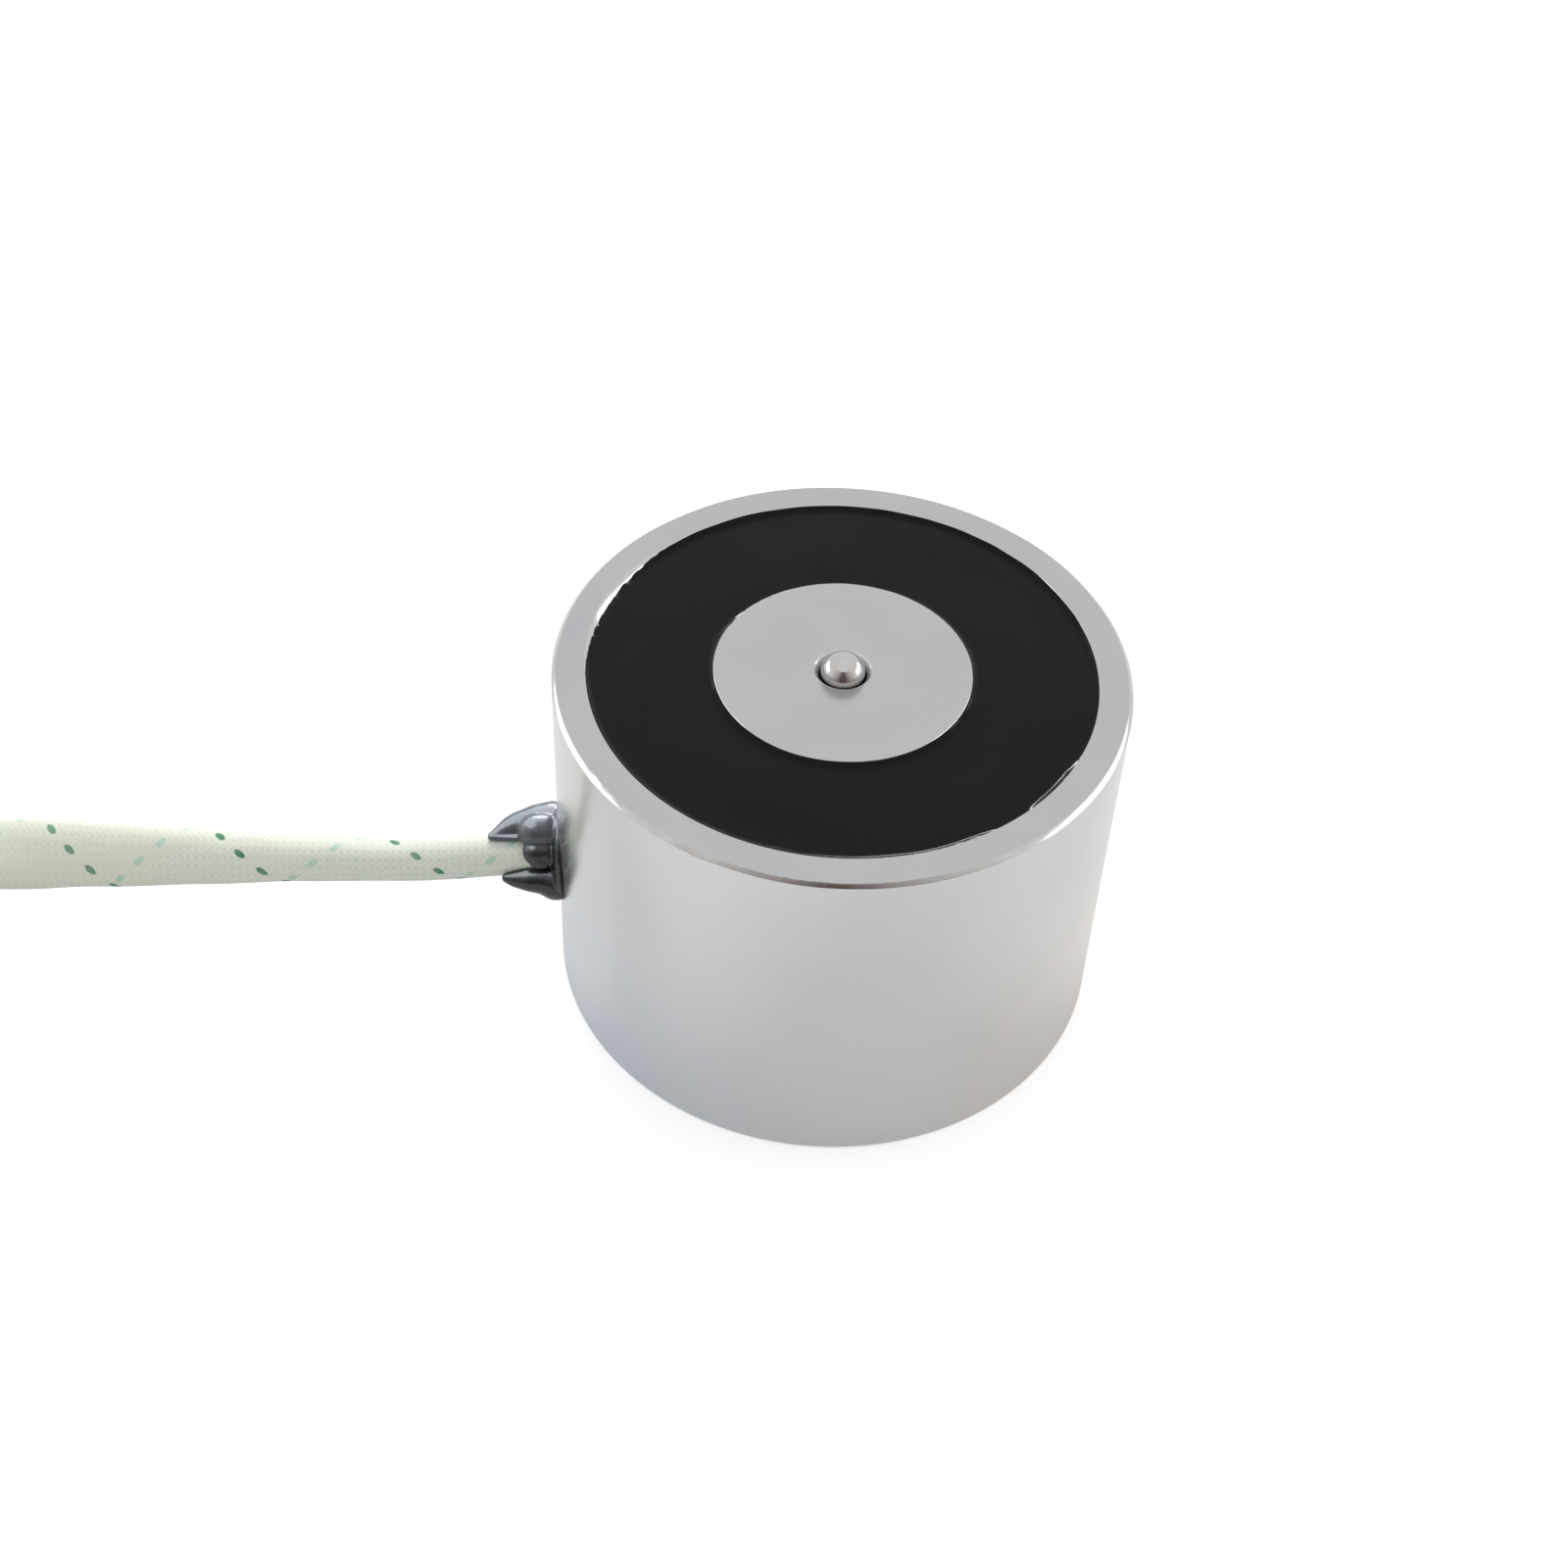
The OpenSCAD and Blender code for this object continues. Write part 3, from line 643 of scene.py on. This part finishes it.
def make_pot(*looks):
    """The pot. looks are those of its wall, of its flat faces, and of its chamfers."""
    pot = Shape().grid(revolve(pot_profile), closed=True).piece("pot")
    for look in looks:
        pot.data.materials.append(look)
    for polygon in pot.data.polygons:
        height, slope = polygon.center[2] / MM, polygon.normal[2]
        if height > POT_H - 1 and slope > 0.1:
            polygon.material_index = 1 if slope > 0.95 else 2
    cutter = Shape().grid(tube_rings(np.array([[-POT_R - 1, 0, EXIT[2]], [-CAVITY_R + 1, 0, EXIT[2]]]),
                                     EXIT_HOLE_R, 48)).piece("cutter")
    hole = pot.modifiers.new("hole", "BOOLEAN")
    hole.object = cutter
    hole.solver = "EXACT"
    apply_modifiers(pot)
    bpy.data.objects.remove(cutter)
    pot.data.set_sharp_from_angle(angle=math.radians(35))
    return dress(pot, looks[0], ["magnet_pot"])


def apply_modifiers(piece):
    """Puts the result of a piece's modifiers into its mesh."""
    shown = piece.evaluated_get(bpy.context.evaluated_depsgraph_get())
    mesh = bpy.data.meshes.new_from_object(shown)
    piece.modifiers.clear()
    piece.data = mesh


# ---- Resin ----
def resin_edge(angle):
    """Radius and height at which the resin meets the rim. One stretch leaves the chamfer bare."""
    degrees = math.degrees(angle)
    chamfer = bore_chamfer(degrees)
    bare = min(1.0, bump(degrees, *RESIN_BARE)) * (0.93 + 0.1 * wobble(angle, 22, 5))
    bare -= bump(degrees, *RESIN_TONGUE)
    depth = mix(0.05 + 0.03 * wobble(angle, 8, 2), chamfer + 0.06 * wobble(angle, 30, 9), bare)
    depth = max(depth, 0.02)
    return CAVITY_R + max(0.0, chamfer - depth) - 0.01, POT_H - depth


def resin_profile(angle):
    """The resin's section: its level top that climbs at pole and rim, and the coil's space."""
    degrees = math.degrees(angle)
    hardly = RESIN_Z + 0.14
    inner = POLE_R + 0.02
    outer, at_wall = resin_edge(angle)
    slope = min(1.0, bumps(degrees, RESIN_SLOPES))
    low = min(1.0, bumps(degrees, RESIN_LOW))
    at_wall = mix(at_wall, hardly, 0.9 * low * (1 - slope))
    at_pole = POT_H - 0.1 + 0.04 * wobble(angle, 5, 11)
    at_pole = mix(at_pole, hardly, 0.9 * min(1.0, bump(degrees, *RESIN_LOW_AT_POLE)))
    fillet = 0.25 + 0.04 * wobble(angle, 7, 4)
    pole_fillet = 0.25 + 0.05 * wobble(angle, 6, 15)
    steps = 44
    surface = []
    for i in range(steps + 1):
        u = i / steps
        radius = mix(inner, outer, 0.5 - 0.5 * math.cos(math.pi * u))
        swell = 0.05 * wobble(angle, 1.2, radius * 0.15)
        level = RESIN_Z + 0.12 + swell * math.sin(math.pi * u)
        from_pole = math.exp(-((radius - inner) / pole_fillet) ** 1.5)
        from_wall = mix(math.exp(-((outer - radius) / fillet) ** 1.5),
                        max(0.0, 1 - (outer - radius) / RESIN_RAMP), slope)
        z = level + (at_pole - level) * from_pole + (at_wall - level) * from_wall
        surface.append((radius, z))
    surface.reverse()
    gap = 0.05
    wall, foot = CAVITY_R - 0.03, FLOOR_T + gap
    under = [(inner, BOBBIN_TOP + gap), (FLANGE_R + gap, BOBBIN_TOP + gap),
             (FLANGE_R + gap, BOBBIN_TOP - FLANGE_T - gap),
             (WRAP_R + gap, BOBBIN_TOP - FLANGE_T - gap),
             (WRAP_R + gap, FLOOR_T + FLANGE_T + gap),
             (FLANGE_R + gap, FLOOR_T + FLANGE_T + gap),
             (FLANGE_R + gap, foot), (wall, foot), (wall, POT_H - 1)]
    return surface + under


def make_resin(look):
    resin = Shape().grid(revolve(resin_profile, 640), closed=True).piece("resin")
    return dress(resin, look, ["potting"])


# ---- Ejector ----
def make_pin(look):
    top = corner("ejector_pin", 1, 2)
    bottom = corner("ejector_pin", 0, 2)
    shank = 1.97
    shoulder = corner("ejector_pin", 1, 0)
    shoulder_top = BORE_STEP_Z - 0.05
    shoulder_z = shoulder_top - 3
    tail = 1.3
    edge = 0.15
    profile = ([(0.001, bottom), (tail - 0.2, bottom), (tail, bottom + 0.2),
                (tail, shoulder_z), (shoulder - edge, shoulder_z), (shoulder, shoulder_z + edge),
                (shoulder, shoulder_top - edge), (shoulder - edge, shoulder_top),
                (shank, shoulder_top)]
               + arc((0, top - shank), shank, 0, 89.9, 24))
    pin = Shape().grid(revolve(lambda a: profile, 96)).piece("pin")
    return dress(pin, look, ["ejector_pin"], "ejector")


def make_spring(look):
    low = corner("ejector_spring", 0, 2)
    high = corner("ejector_spring", 1, 2)
    outer = corner("ejector_spring", 1, 0)
    wire_r = 0.25
    turns, closed_pitch = 8, 0.575
    open_pitch = (high - low - 2 * wire_r - 2 * closed_pitch) / (turns - 2)
    u = np.linspace(0, turns, turns * 30 + 1)
    rise = (closed_pitch * np.minimum(u, 1) + open_pitch * np.clip(u - 1, 0, turns - 2)
            + closed_pitch * np.maximum(u - turns + 1, 0))
    line = np.stack([(outer - wire_r) * np.cos(2 * np.pi * u),
                     (outer - wire_r) * np.sin(2 * np.pi * u), low + wire_r + rise], 1)
    spring = Shape().grid(tube_rings(line, wire_r, 12)).piece("spring")
    dress(spring, look, ["ejector_spring"])
    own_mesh(spring)
    return spring


# ---- Sealant round the lead ----
def blob(shape, centre, radii):
    """A closed ellipsoid in the sealant."""
    rings = []
    turn = 2 * np.pi * np.arange(24) / 24
    for tilt in np.pi * np.arange(1, 16) / 16:
        rings.append(centre + np.stack([np.full(24, -radii[0] * math.cos(tilt)),
                                        radii[1] * math.sin(tilt) * np.cos(turn),
                                        radii[2] * math.sin(tilt) * np.sin(turn)], 1))
    shape.grid(rings)


def trail(shape, run):
    """Round blobs close together along a run of (out, up, front, radius) points."""
    for start, end in zip(run, run[1:]):
        for u in np.linspace(0, 1, 7):
            out, up, front, r = (mix(a, b, u) for a, b in zip(start, end))
            slant = math.cos(math.radians(45))
            centre = EXIT + np.array([-out, (up - front) * slant, (up + front) * slant])
            blob(shape, centre, (r, r, r))


def make_seal(look):
    shape = Shape()
    blob(shape, EXIT, (SEAL_MOUND, SEAL_R - 0.3, SEAL_R))
    for run in SEAL_RUNS:
        trail(shape, run)
    shape.grid(tube_rings(np.array([[-CAVITY_R + 0.1, 0, EXIT[2]], [-POT_R - 0.4, 0, EXIT[2]]]),
                          EXIT_HOLE_R - 0.05, 32))
    seal = shape.piece("seal")
    remesh = seal.modifiers.new("remesh", "REMESH")
    remesh.mode = "VOXEL"
    remesh.voxel_size = 0.11 * MM
    smooth = seal.modifiers.new("smooth", "SMOOTH")
    smooth.factor = 0.5
    smooth.iterations = 7
    apply_modifiers(seal)
    press_on_wall(seal)
    seal.data.shade_smooth()
    return dress(seal, look, ["cable_seal"])


def press_on_wall(seal):
    """Moves what lies inside the pot's wall onto it, apart from the plug in the exit hole."""
    wall = (POT_R + 0.01) * MM
    for vertex in seal.data.vertices:
        x, y, z = vertex.co
        radius = math.hypot(x, y)
        if radius < wall and math.hypot(y, z - EXIT[2] * MM) > (EXIT_HOLE_R - 0.04) * MM:
            vertex.co = (x * wall / radius, y * wall / radius, z)


# ---- Braided sleeve ----
def sleeve_line():
    """The sleeve's centre line, and how long its first stretch is, up to the coil."""
    coil = []
    for degrees in range(COIL_START, COIL_END + 1, 11):
        radius = COIL_R - COIL_SHRINK * (degrees - COIL_START) / 360
        angle = math.radians(degrees)
        coil.append((COIL_CENTRE[0] + radius * math.cos(angle),
                     COIL_CENTRE[1] + radius * math.sin(angle), COIL_Z))
    line = spline(ROUTE + coil)
    return line, lengths(spline(ROUTE + coil[:1]))[-1]


def even_turns(wide, thin, squareness, count):
    """Angles at which a count of points stands evenly round the sleeve's section."""
    fine = np.linspace(0, 2 * np.pi, 361)
    across, other = rounded_section(fine, squareness)
    run = np.cumsum(np.hypot(np.diff(across * wide), np.diff(other * thin)))
    return np.interp(np.arange(count) / count * run[-1], np.append(0, run), fine)


def rounded_section(angles, squareness):
    """An oval from -1 to 1 both ways. Below 1, squareness fills its corners."""
    c, s = np.cos(angles), np.sin(angles)
    return np.sign(c) * np.abs(c) ** squareness, np.sign(s) * np.abs(s) ** squareness


def braid_height(turn, row):
    """Relief of the braid from 0 to 1. turn goes round the sleeve once, row along it."""
    a, b = (row - turn) * YARNS, (row + turn) * YARNS

    def yarn(across, along):
        number = np.floor(across)
        crown = 1 - 4 * (across - number - 0.5) ** 2
        return crown + 0.9 * np.sin((along - number - 0.5) * np.pi / FLOAT)

    return np.clip(np.maximum(yarn(a, b), yarn(b, a)) / 1.9, 0, 1)


def sleeve_sections(x, run, hanging):
    """At each point of the line: how flat the sleeve is, its roll, and its two half sizes."""
    in_coil = run > hanging
    flat = np.where(in_coil, 1, ease((FLAT_FROM - x) / (FLAT_FROM - FLAT_TO)))
    roll = np.where(in_coil, 0, HANG_ROLL * (1 - ease((ROLL_FROM - x) / (ROLL_FROM - ROLL_TO))))
    coiled = ease((run - hanging + 6) / 12)
    wide = mix(mix(ROUND_HALF, FLAT_HALF[0], flat), COIL_HALF[0], coiled)
    thin = mix(ROUND_HALF, FLAT_HALF[1], flat)
    return flat, roll, wide, thin


def make_sleeve(look):
    around = 120
    line, hanging = sleeve_line()
    total = lengths(line)[-1]
    run = np.concatenate([np.arange(0, RELIEF_TO, RELIEF_STEP),
                          np.linspace(RELIEF_TO, total, COIL_RINGS)])
    line = at_lengths(line, run)
    _, side, up = frames(line)
    flat, roll, wide, thin = sleeve_sections(line[:, 0], run, hanging)
    squeeze = TIE_SQUEEZE * under_tie(line)
    thin = thin - squeeze
    line[:, 2] += squeeze
    line[:, 2] -= SAG * ease((SAG_FROM - line[:, 0]) / 12) * (1 - ease((run - hanging + 30) / 30))
    turn = np.arange(around) / around
    rows = np.cumsum(np.append(ROW_START, np.diff(run) / mix(*BRAID_TURN, flat[1:])))
    rings = []
    for i in range(len(line)):
        across = side[i] * math.cos(roll[i]) + up[i] * math.sin(roll[i])
        other = up[i] * math.cos(roll[i]) - side[i] * math.sin(roll[i])
        squareness = 1 - FLAT_CORNERS * flat[i]
        angle = even_turns(wide[i], thin[i], squareness, around)
        cx, sx = rounded_section(angle, squareness)
        relief = -BRAID_MEAN
        if run[i] < RELIEF_TO:
            relief = BRAID_RELIEF * (braid_height(turn, rows[i]) - 1)
        rings.append(line[i] + np.outer(cx * (wide[i] + relief), across)
                     + np.outer(sx * (thin[i] + relief), other))
    rings = crumple(rings, run, turn)
    shape = Shape().grid(rings, caps=False)
    sink_mouth(shape, rings, line, run)
    sleeve = shape.piece("sleeve", 60)
    lay_braid(sleeve, rows, around)
    dress(sleeve, look, ["lead_sleeve", "lead_sleeve_coil"])
    return sleeve, line


def sink_mouth(shape, rings, line, run):
    """Makes the sleeve's end hollow, by rings that lie back in it by a length, and shrunk."""
    around = len(rings[0])
    for back, share in MOUTH_RINGS:
        inner_centre = line[np.searchsorted(run, run[-1] - back) - (back == 0)]
        shape.points += [tuple(inner_centre + (p - line[-1]) * share) for p in rings[-1]]
    start = len(rings) * around
    for i in range(len(MOUTH_RINGS)):
        a, b = start + (i - 1) * around, start + i * around
        for k in range(around):
            n = (k + 1) % around
            shape.faces.append((a + k, a + n, b + n, b + k))
    shape.faces.append(tuple(range(start + 2 * around, start + 3 * around)))
    shape.faces.append(tuple(range(around - 1, -1, -1)))


def lay_braid(sleeve, rows, around):
    """Texture coordinates of the braid: turns round the sleeve, and rows along it."""
    uv = sleeve.data.uv_layers.new(name="braid")
    rows = np.append(rows, [rows[-1]] * len(MOUTH_RINGS))
    coordinates = []
    for polygon in sleeve.data.polygons:
        first = polygon.vertices[0] % around
        for vertex in polygon.vertices:
            column = vertex % around
            if first == around - 1 and column == 0:
                column = around
            coordinates += [column / around, rows[vertex // around]]
    uv.data.foreach_set("uv", coordinates)


def tie_crossings():
    """Where the tie crosses the sleeve's two turns, on the floor."""
    angle = math.radians(TIE_ANGLE)
    way = np.array([math.cos(angle), math.sin(angle)])
    radii = [COIL_R - COIL_SHRINK * (TIE_ANGLE + extra - COIL_START) / 360 for extra in (0, 360)]
    return [COIL_CENTRE + way * r for r in radii]


def under_tie(line):
    """How much the tie presses on each point of the sleeve: 1 under it, 0 far from it."""
    pressed = np.zeros(len(line))
    for crossing in tie_crossings():
        away = np.linalg.norm(line[:, :2] - crossing, axis=1)
        pressed = np.maximum(pressed, np.exp(-(away / TIE_REACH) ** 2))
    return pressed


def crumple(rings, run, turn):
    """Small soft dents, as a woven sleeve has where it is bent and flattened."""
    out = []
    for i, ring in enumerate(rings):
        middle = ring.mean(0)
        size = DENTS * np.array([
            noise.noise(Vector((run[i] * 0.16, math.cos(2 * math.pi * t) * 0.9,
                                math.sin(2 * math.pi * t) * 0.9))) for t in turn])
        out.append(middle + (ring - middle) * (1 + size)[:, None])
    return out


def make_tail(name, tail, sideways, look, node):
    """One insulated lead out of the sleeve's mouth, where it starts to one side of the middle."""
    points = []
    for (radius, degrees), z in zip(tail, TAIL_Z):
        angle = math.radians(degrees)
        if degrees == COIL_END - 360:
            radius += sideways
        points.append((COIL_CENTRE[0] + radius * math.cos(angle),
                       COIL_CENTRE[1] + radius * math.sin(angle), z))
    line = spline(points)
    made = Shape().grid(tube_rings(line, LEAD_R, 24)).piece(name)
    dress(made, look, [node])
    return made, line


def make_tip(name, line, look, node):
    """Tinned strands at a lead's end: one in the middle and six twisted round it."""
    along = line[-1] - line[-2]
    along /= np.linalg.norm(along)
    side = np.cross(along, UP)
    u = np.linspace(0, 1, 25)
    shape = Shape()
    strand_r = TIP_R / 3
    for k in range(7):
        away = 0 if k == 0 else 2 * strand_r
        turn = 2 * np.pi * (k / 6 + 0.9 * u)
        spread = away * (1 + 0.25 * u ** 3)
        middle = line[-1] - along * 0.3 + np.outer(u * (TIP_L + 0.1 * (k % 3) - 0.1), along)
        strand = middle + (np.cos(turn) * spread)[:, None] * side + (np.sin(turn) * spread)[:, None] * UP
        shape.grid(tube_rings(strand, strand_r * 1.04, 10))
    made = shape.piece(name)
    return dress(made, look, [node])


def make_fray(line, look):
    """Short loose fibres round the sleeve's cut mouth."""
    along = line[-1] - line[-4]
    along /= np.linalg.norm(along)
    side = np.cross(along, UP)
    shape = Shape()
    for k in range(110):
        turn = 2 * math.pi * k / 110 + random.uniform(-0.1, 0.1)
        out = side * math.cos(turn) + UP * math.sin(turn)
        root = line[-1] - along * 0.5 + (side * math.cos(turn) * (COIL_HALF[0] - 0.2)
                                         + UP * math.sin(turn) * (COIL_HALF[1] - 0.15))
        long = random.uniform(0.9, 2.2)
        bend = random.uniform(-0.1, 0.45)
        sway = random.uniform(-0.5, 0.5)
        u = np.linspace(0, 1, 6)
        hair = (root + np.outer(u * long, along) + np.outer(u ** 2 * bend * long, out)
                + np.outer(u ** 2 * sway * long, side))
        hair[:, 2] = np.maximum(hair[:, 2], 0.06)
        shape.grid(tube_rings(hair, 0.045 * (1 - 0.5 * u), 5))
    made = shape.piece("sleeve_fray")
    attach(made, "magnet_body")
    made.data.materials.append(look)
    return made


# ---- Tie ----
def make_tie(look):
    """A flat nylon tie round the coil's two turns."""
    inner, outer = 17.55, 30.1
    low, high = TIE_T / 2, 2.6 + TIE_T / 2
    corner_r = 0.9
    loop = []
    for (cx, cz), start in (((outer - corner_r, high - corner_r), 0),
                            ((inner + corner_r, high - corner_r), 90),
                            ((inner + corner_r, low + corner_r), 180),
                            ((outer - corner_r, low + corner_r), 270)):
        loop += arc((cx, cz), corner_r, start, start + 90, 8)
    loop = np.array(loop)
    centre = loop.mean(0)
    shape = Shape()
    profile = [(TIE_W / 2, -0.5), (TIE_W / 2, 0.5), (TIE_W / 2 - 0.25, 0.5), (-TIE_W / 2 + 0.25, 0.5),
               (-TIE_W / 2, 0.5), (-TIE_W / 2, -0.5)]
    rings = []
    ahead = np.roll(loop, -1, 0) - np.roll(loop, 1, 0)
    ahead /= np.linalg.norm(ahead, axis=1)[:, None]
    outward = np.stack([ahead[:, 1], -ahead[:, 0]], 1)
    outward *= np.sign(((loop - centre) * outward).sum(1))[:, None]
    for p, n in zip(loop, outward):
        rings.append([(p[0] + n[0] * TIE_T * h, w, p[1] + n[1] * TIE_T * h) for w, h in profile])
    shape.grid(rings, closed=True)
    tie = shape.piece("tie", 50)
    turn = Matrix.Translation((COIL_CENTRE[0] * MM, COIL_CENTRE[1] * MM, 0))
    turn @= Matrix.Rotation(math.radians(TIE_ANGLE), 4, "Z")
    tie.data.transform(turn)
    bevel = tie.modifiers.new("bevel", "BEVEL")
    bevel.width = 0.08 * MM
    bevel.segments = 2
    apply_modifiers(tie)
    return dress(tie, look, ["sleeve_tie"])


# ---- Stage ----
def seen_strength(tree, unseen, in_gloss, direct):
    """A strength for light that falls on things, for reflections, and for what is seen itself."""
    path = tree.nodes.new("ShaderNodeLightPath")
    last = unseen
    for rays, strength in (("Is Glossy Ray", in_gloss), ("Is Transmission Ray", direct),
                           ("Is Camera Ray", direct)):
        choice = tree.nodes.new("ShaderNodeMix")
        tree.links.new(path.outputs[rays], choice.inputs["Factor"])
        if isinstance(last, float):
            choice.inputs["A"].default_value = last
        else:
            tree.links.new(last, choice.inputs["A"])
        choice.inputs["B"].default_value = strength
        last = choice.outputs["Result"]
    return last


def make_floor():
    """A white floor that keeps the object's shadow, and can be looked through from below."""
    mesh = bpy.data.meshes.new("floor")
    far = 3.0
    corners = [(-far, -far, 0), (far, -far, 0), (far, far, 0), (-far, far, 0)]
    mesh.from_pydata(corners, [], [(0, 1, 2, 3)])
    floor = add("floor", mesh)
    floor.location.z = -0.0001
    material = bpy.data.materials.new("floor")
    material.use_nodes = True
    tree = material.node_tree
    shader = tree.nodes["Principled BSDF"]
    shader.inputs["Base Color"].default_value = (0.62, 0.62, 0.62, 1)
    shader.inputs["Roughness"].default_value = 1.0
    shader.inputs["Specular IOR Level"].default_value = 0.0
    shader.inputs["Emission Color"].default_value = (1, 1, 1, 1)
    glow = seen_strength(tree, unseen=0.0, in_gloss=0.26, direct=0.55)
    tree.links.new(glow, shader.inputs["Emission Strength"])
    clear = tree.nodes.new("ShaderNodeBsdfTransparent")
    blend = tree.nodes.new("ShaderNodeMixShader")
    tree.links.new(tree.nodes.new("ShaderNodeNewGeometry").outputs["Backfacing"], blend.inputs[0])
    tree.links.new(shader.outputs[0], blend.inputs[1])
    tree.links.new(clear.outputs[0], blend.inputs[2])
    tree.links.new(blend.outputs[0], tree.nodes["Material Output"].inputs["Surface"])
    mesh.materials.append(material)


def make_world():
    """White where it is seen, in reflections too, and plain soft light elsewhere."""
    world = bpy.data.worlds.new("studio")
    bpy.context.scene.world = world
    world.use_nodes = True
    tree = world.node_tree
    background = tree.nodes["Background"]
    background.inputs["Color"].default_value = (1, 1, 1, 1)
    glow = seen_strength(tree, unseen=0.80, in_gloss=1.0, direct=1.0)
    tree.links.new(glow, background.inputs["Strength"])


def direction(azimuth, elevation):
    azimuth, elevation = math.radians(azimuth), math.radians(elevation)
    return Vector((math.cos(azimuth) * math.cos(elevation),
                   math.sin(azimuth) * math.cos(elevation), math.sin(elevation)))


def make_lamp(name, azimuth, elevation, size, radiance, colour=(1, 1, 1)):
    """A rectangular softbox that faces the part, LAMP_DISTANCE away from it."""
    data = bpy.data.lights.new(name, "AREA")
    data.shape = "RECTANGLE"
    data.size, data.size_y = size
    data.energy = radiance * math.pi * size[0] * size[1]
    data.color = colour
    lamp = add(name, data)
    way = direction(azimuth, elevation)
    lamp.location = LAMP_TARGET + way * LAMP_DISTANCE
    lamp.rotation_mode = "QUATERNION"
    lamp.rotation_quaternion = way.to_track_quat("Z", "Y")
    lamp.visible_camera = False
    return lamp


def light_only(lamp, pieces):
    """Lets a lamp shine on these pieces alone."""
    group = bpy.data.collections.new(lamp.name + "_pieces")
    for piece in pieces:
        group.objects.link(piece)
    lamp.light_linking.receiver_collection = group


def make_screen():
    """A dark curved screen in front, where the photographer stands. Only reflections see it."""
    radius, low, high = 0.6, -0.02, 0.66
    turns = [math.radians(SCREEN_MIDDLE + a) for a in range(-60, 61, 5)]
    points = [(radius * math.cos(t), radius * math.sin(t), z) for t in turns for z in (low, high)]
    faces = [(2 * i, 2 * i + 1, 2 * i + 3, 2 * i + 2) for i in range(len(turns) - 1)]
    mesh = bpy.data.meshes.new("screen")
    mesh.from_pydata(points, [], faces)
    screen = add("screen", mesh)
    screen.visible_camera = False
    screen.visible_diffuse = False
    screen.visible_shadow = False
    look = Look("screen", {"Specular IOR Level": 0.0, "Emission Strength": 1.0})
    look.shader.inputs["Base Color"].default_value = (0, 0, 0, 1)
    x, y, z = look.parts()
    middle = math.radians(SCREEN_MIDDLE)
    aside = look.math("ABSOLUTE", look.minus(look.times(x, math.sin(middle)),
                                             look.times(y, math.cos(middle))))
    lower = look.times(look.math("MAXIMUM", look.minus(450.0, z), 0.0), 0.3)
    aside = look.minus(aside, lower)
    glow = look.blend(look.remap(aside, 40.0, 480.0), SCREEN_DARK, SCREEN_LIGHT)
    look.set("Emission Color", glow)
    mesh.materials.append(look.material)


# ---- The scene ----
make_camera()
braid = braid_look()
sleeve, sleeve_path = make_sleeve(braid)
red = plastic("red_insulation", (0.42, 0.012, 0.012), (0.52, 0.02, 0.018), 0.35)
black = plastic("black_insulation", (0.016, 0.016, 0.018), (0.024, 0.024, 0.027), 0.35)
tin = metal("tinned_copper", (0.52, 0.53, 0.55), (0.66, 0.67, 0.69), 0.3)
tail_a, line_a = make_tail("red_lead", TAIL_A, 0.85, red, "lead_a_tail")
tail_b, line_b = make_tail("black_lead", TAIL_B, -0.85, black, "lead_b_tail")
tip_a = make_tip("red_lead_strands", line_a, tin, "lead_a_tip")
tip_b = make_tip("black_lead_strands", line_b, tin, "lead_b_tip")
fray = make_fray(sleeve_path, braid)
tie = make_tie(plastic("tie_nylon", (0.74, 0.74, 0.72), (0.80, 0.80, 0.78), 0.4))
seal = make_seal(sealant_look())

make_pot(plated_side(), ground_face(),
         metal("bright_edge", (0.50, 0.50, 0.50), (0.56, 0.56, 0.55), 0.13))
resin = make_resin(resin_look())
make_pin(polished_steel())
make_spring(metal("spring_steel", (0.34, 0.35, 0.36), (0.46, 0.47, 0.48), 0.3))

CAD_LOOKS = {
    "spring_screw": (metal("black_steel", (0.03, 0.03, 0.034), (0.06, 0.06, 0.065), 0.4),
                     "black_steel"),
    "coil_bobbin": (plastic("nylon", (0.72, 0.68, 0.58), (0.82, 0.78, 0.68), 0.5), "nylon"),
    "coil_winding": (winding_look(), "copper"),
    "coil_wrap": (plastic("insulating_tape", (0.62, 0.42, 0.08), (0.74, 0.52, 0.13), 0.35),
                  "insulating_tape"),
    "start_wire": (metal("copper", (0.52, 0.21, 0.08), (0.66, 0.29, 0.12), 0.25), "copper"),
    "solder_joint_a": (tin, "tinned_copper"),
    "splice_tube_a": (black, "black_insulation"),
    "lead_a": (red, "red_insulation"),
    "lead_b": (black, "black_insulation"),
}
CAD_LOOKS["finish_wire"] = CAD_LOOKS["start_wire"]
CAD_LOOKS["solder_joint_b"] = CAD_LOOKS["solder_joint_a"]
CAD_LOOKS["splice_tube_b"] = CAD_LOOKS["splice_tube_a"]
for node, (material, slot) in CAD_LOOKS.items():
    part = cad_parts[node]
    part.data.materials.clear()
    part.data.materials.append(material)

make_floor()
make_world()
make_screen()
make_lamp("left_window", 160, 14, (0.70, 0.28), 1.7, (0.93, 0.97, 1.0))
make_lamp("right_window", 5, 15, (0.70, 0.30), 1.9, (1.0, 0.99, 0.97))
back_window = make_lamp("back_window", 97, 35, (0.50, 0.35), 6.5)
back_window.visible_glossy = False
upper_window = make_lamp("upper_window", 95, 42, (0.60, 0.30), 3.4)
upper_window.visible_glossy = False
light_only(upper_window, [sleeve, fray])
strip = make_lamp("strip", 91.5, 21, (0.24, 0.10), 34.0)
strip.visible_diffuse = False
light_only(strip, [resin, seal])
panel = make_lamp("panel", 112, 60, (1.60, 1.30), 5.5, (0.84, 0.92, 1.0))
panel.visible_diffuse = False
light_only(panel, [seal])
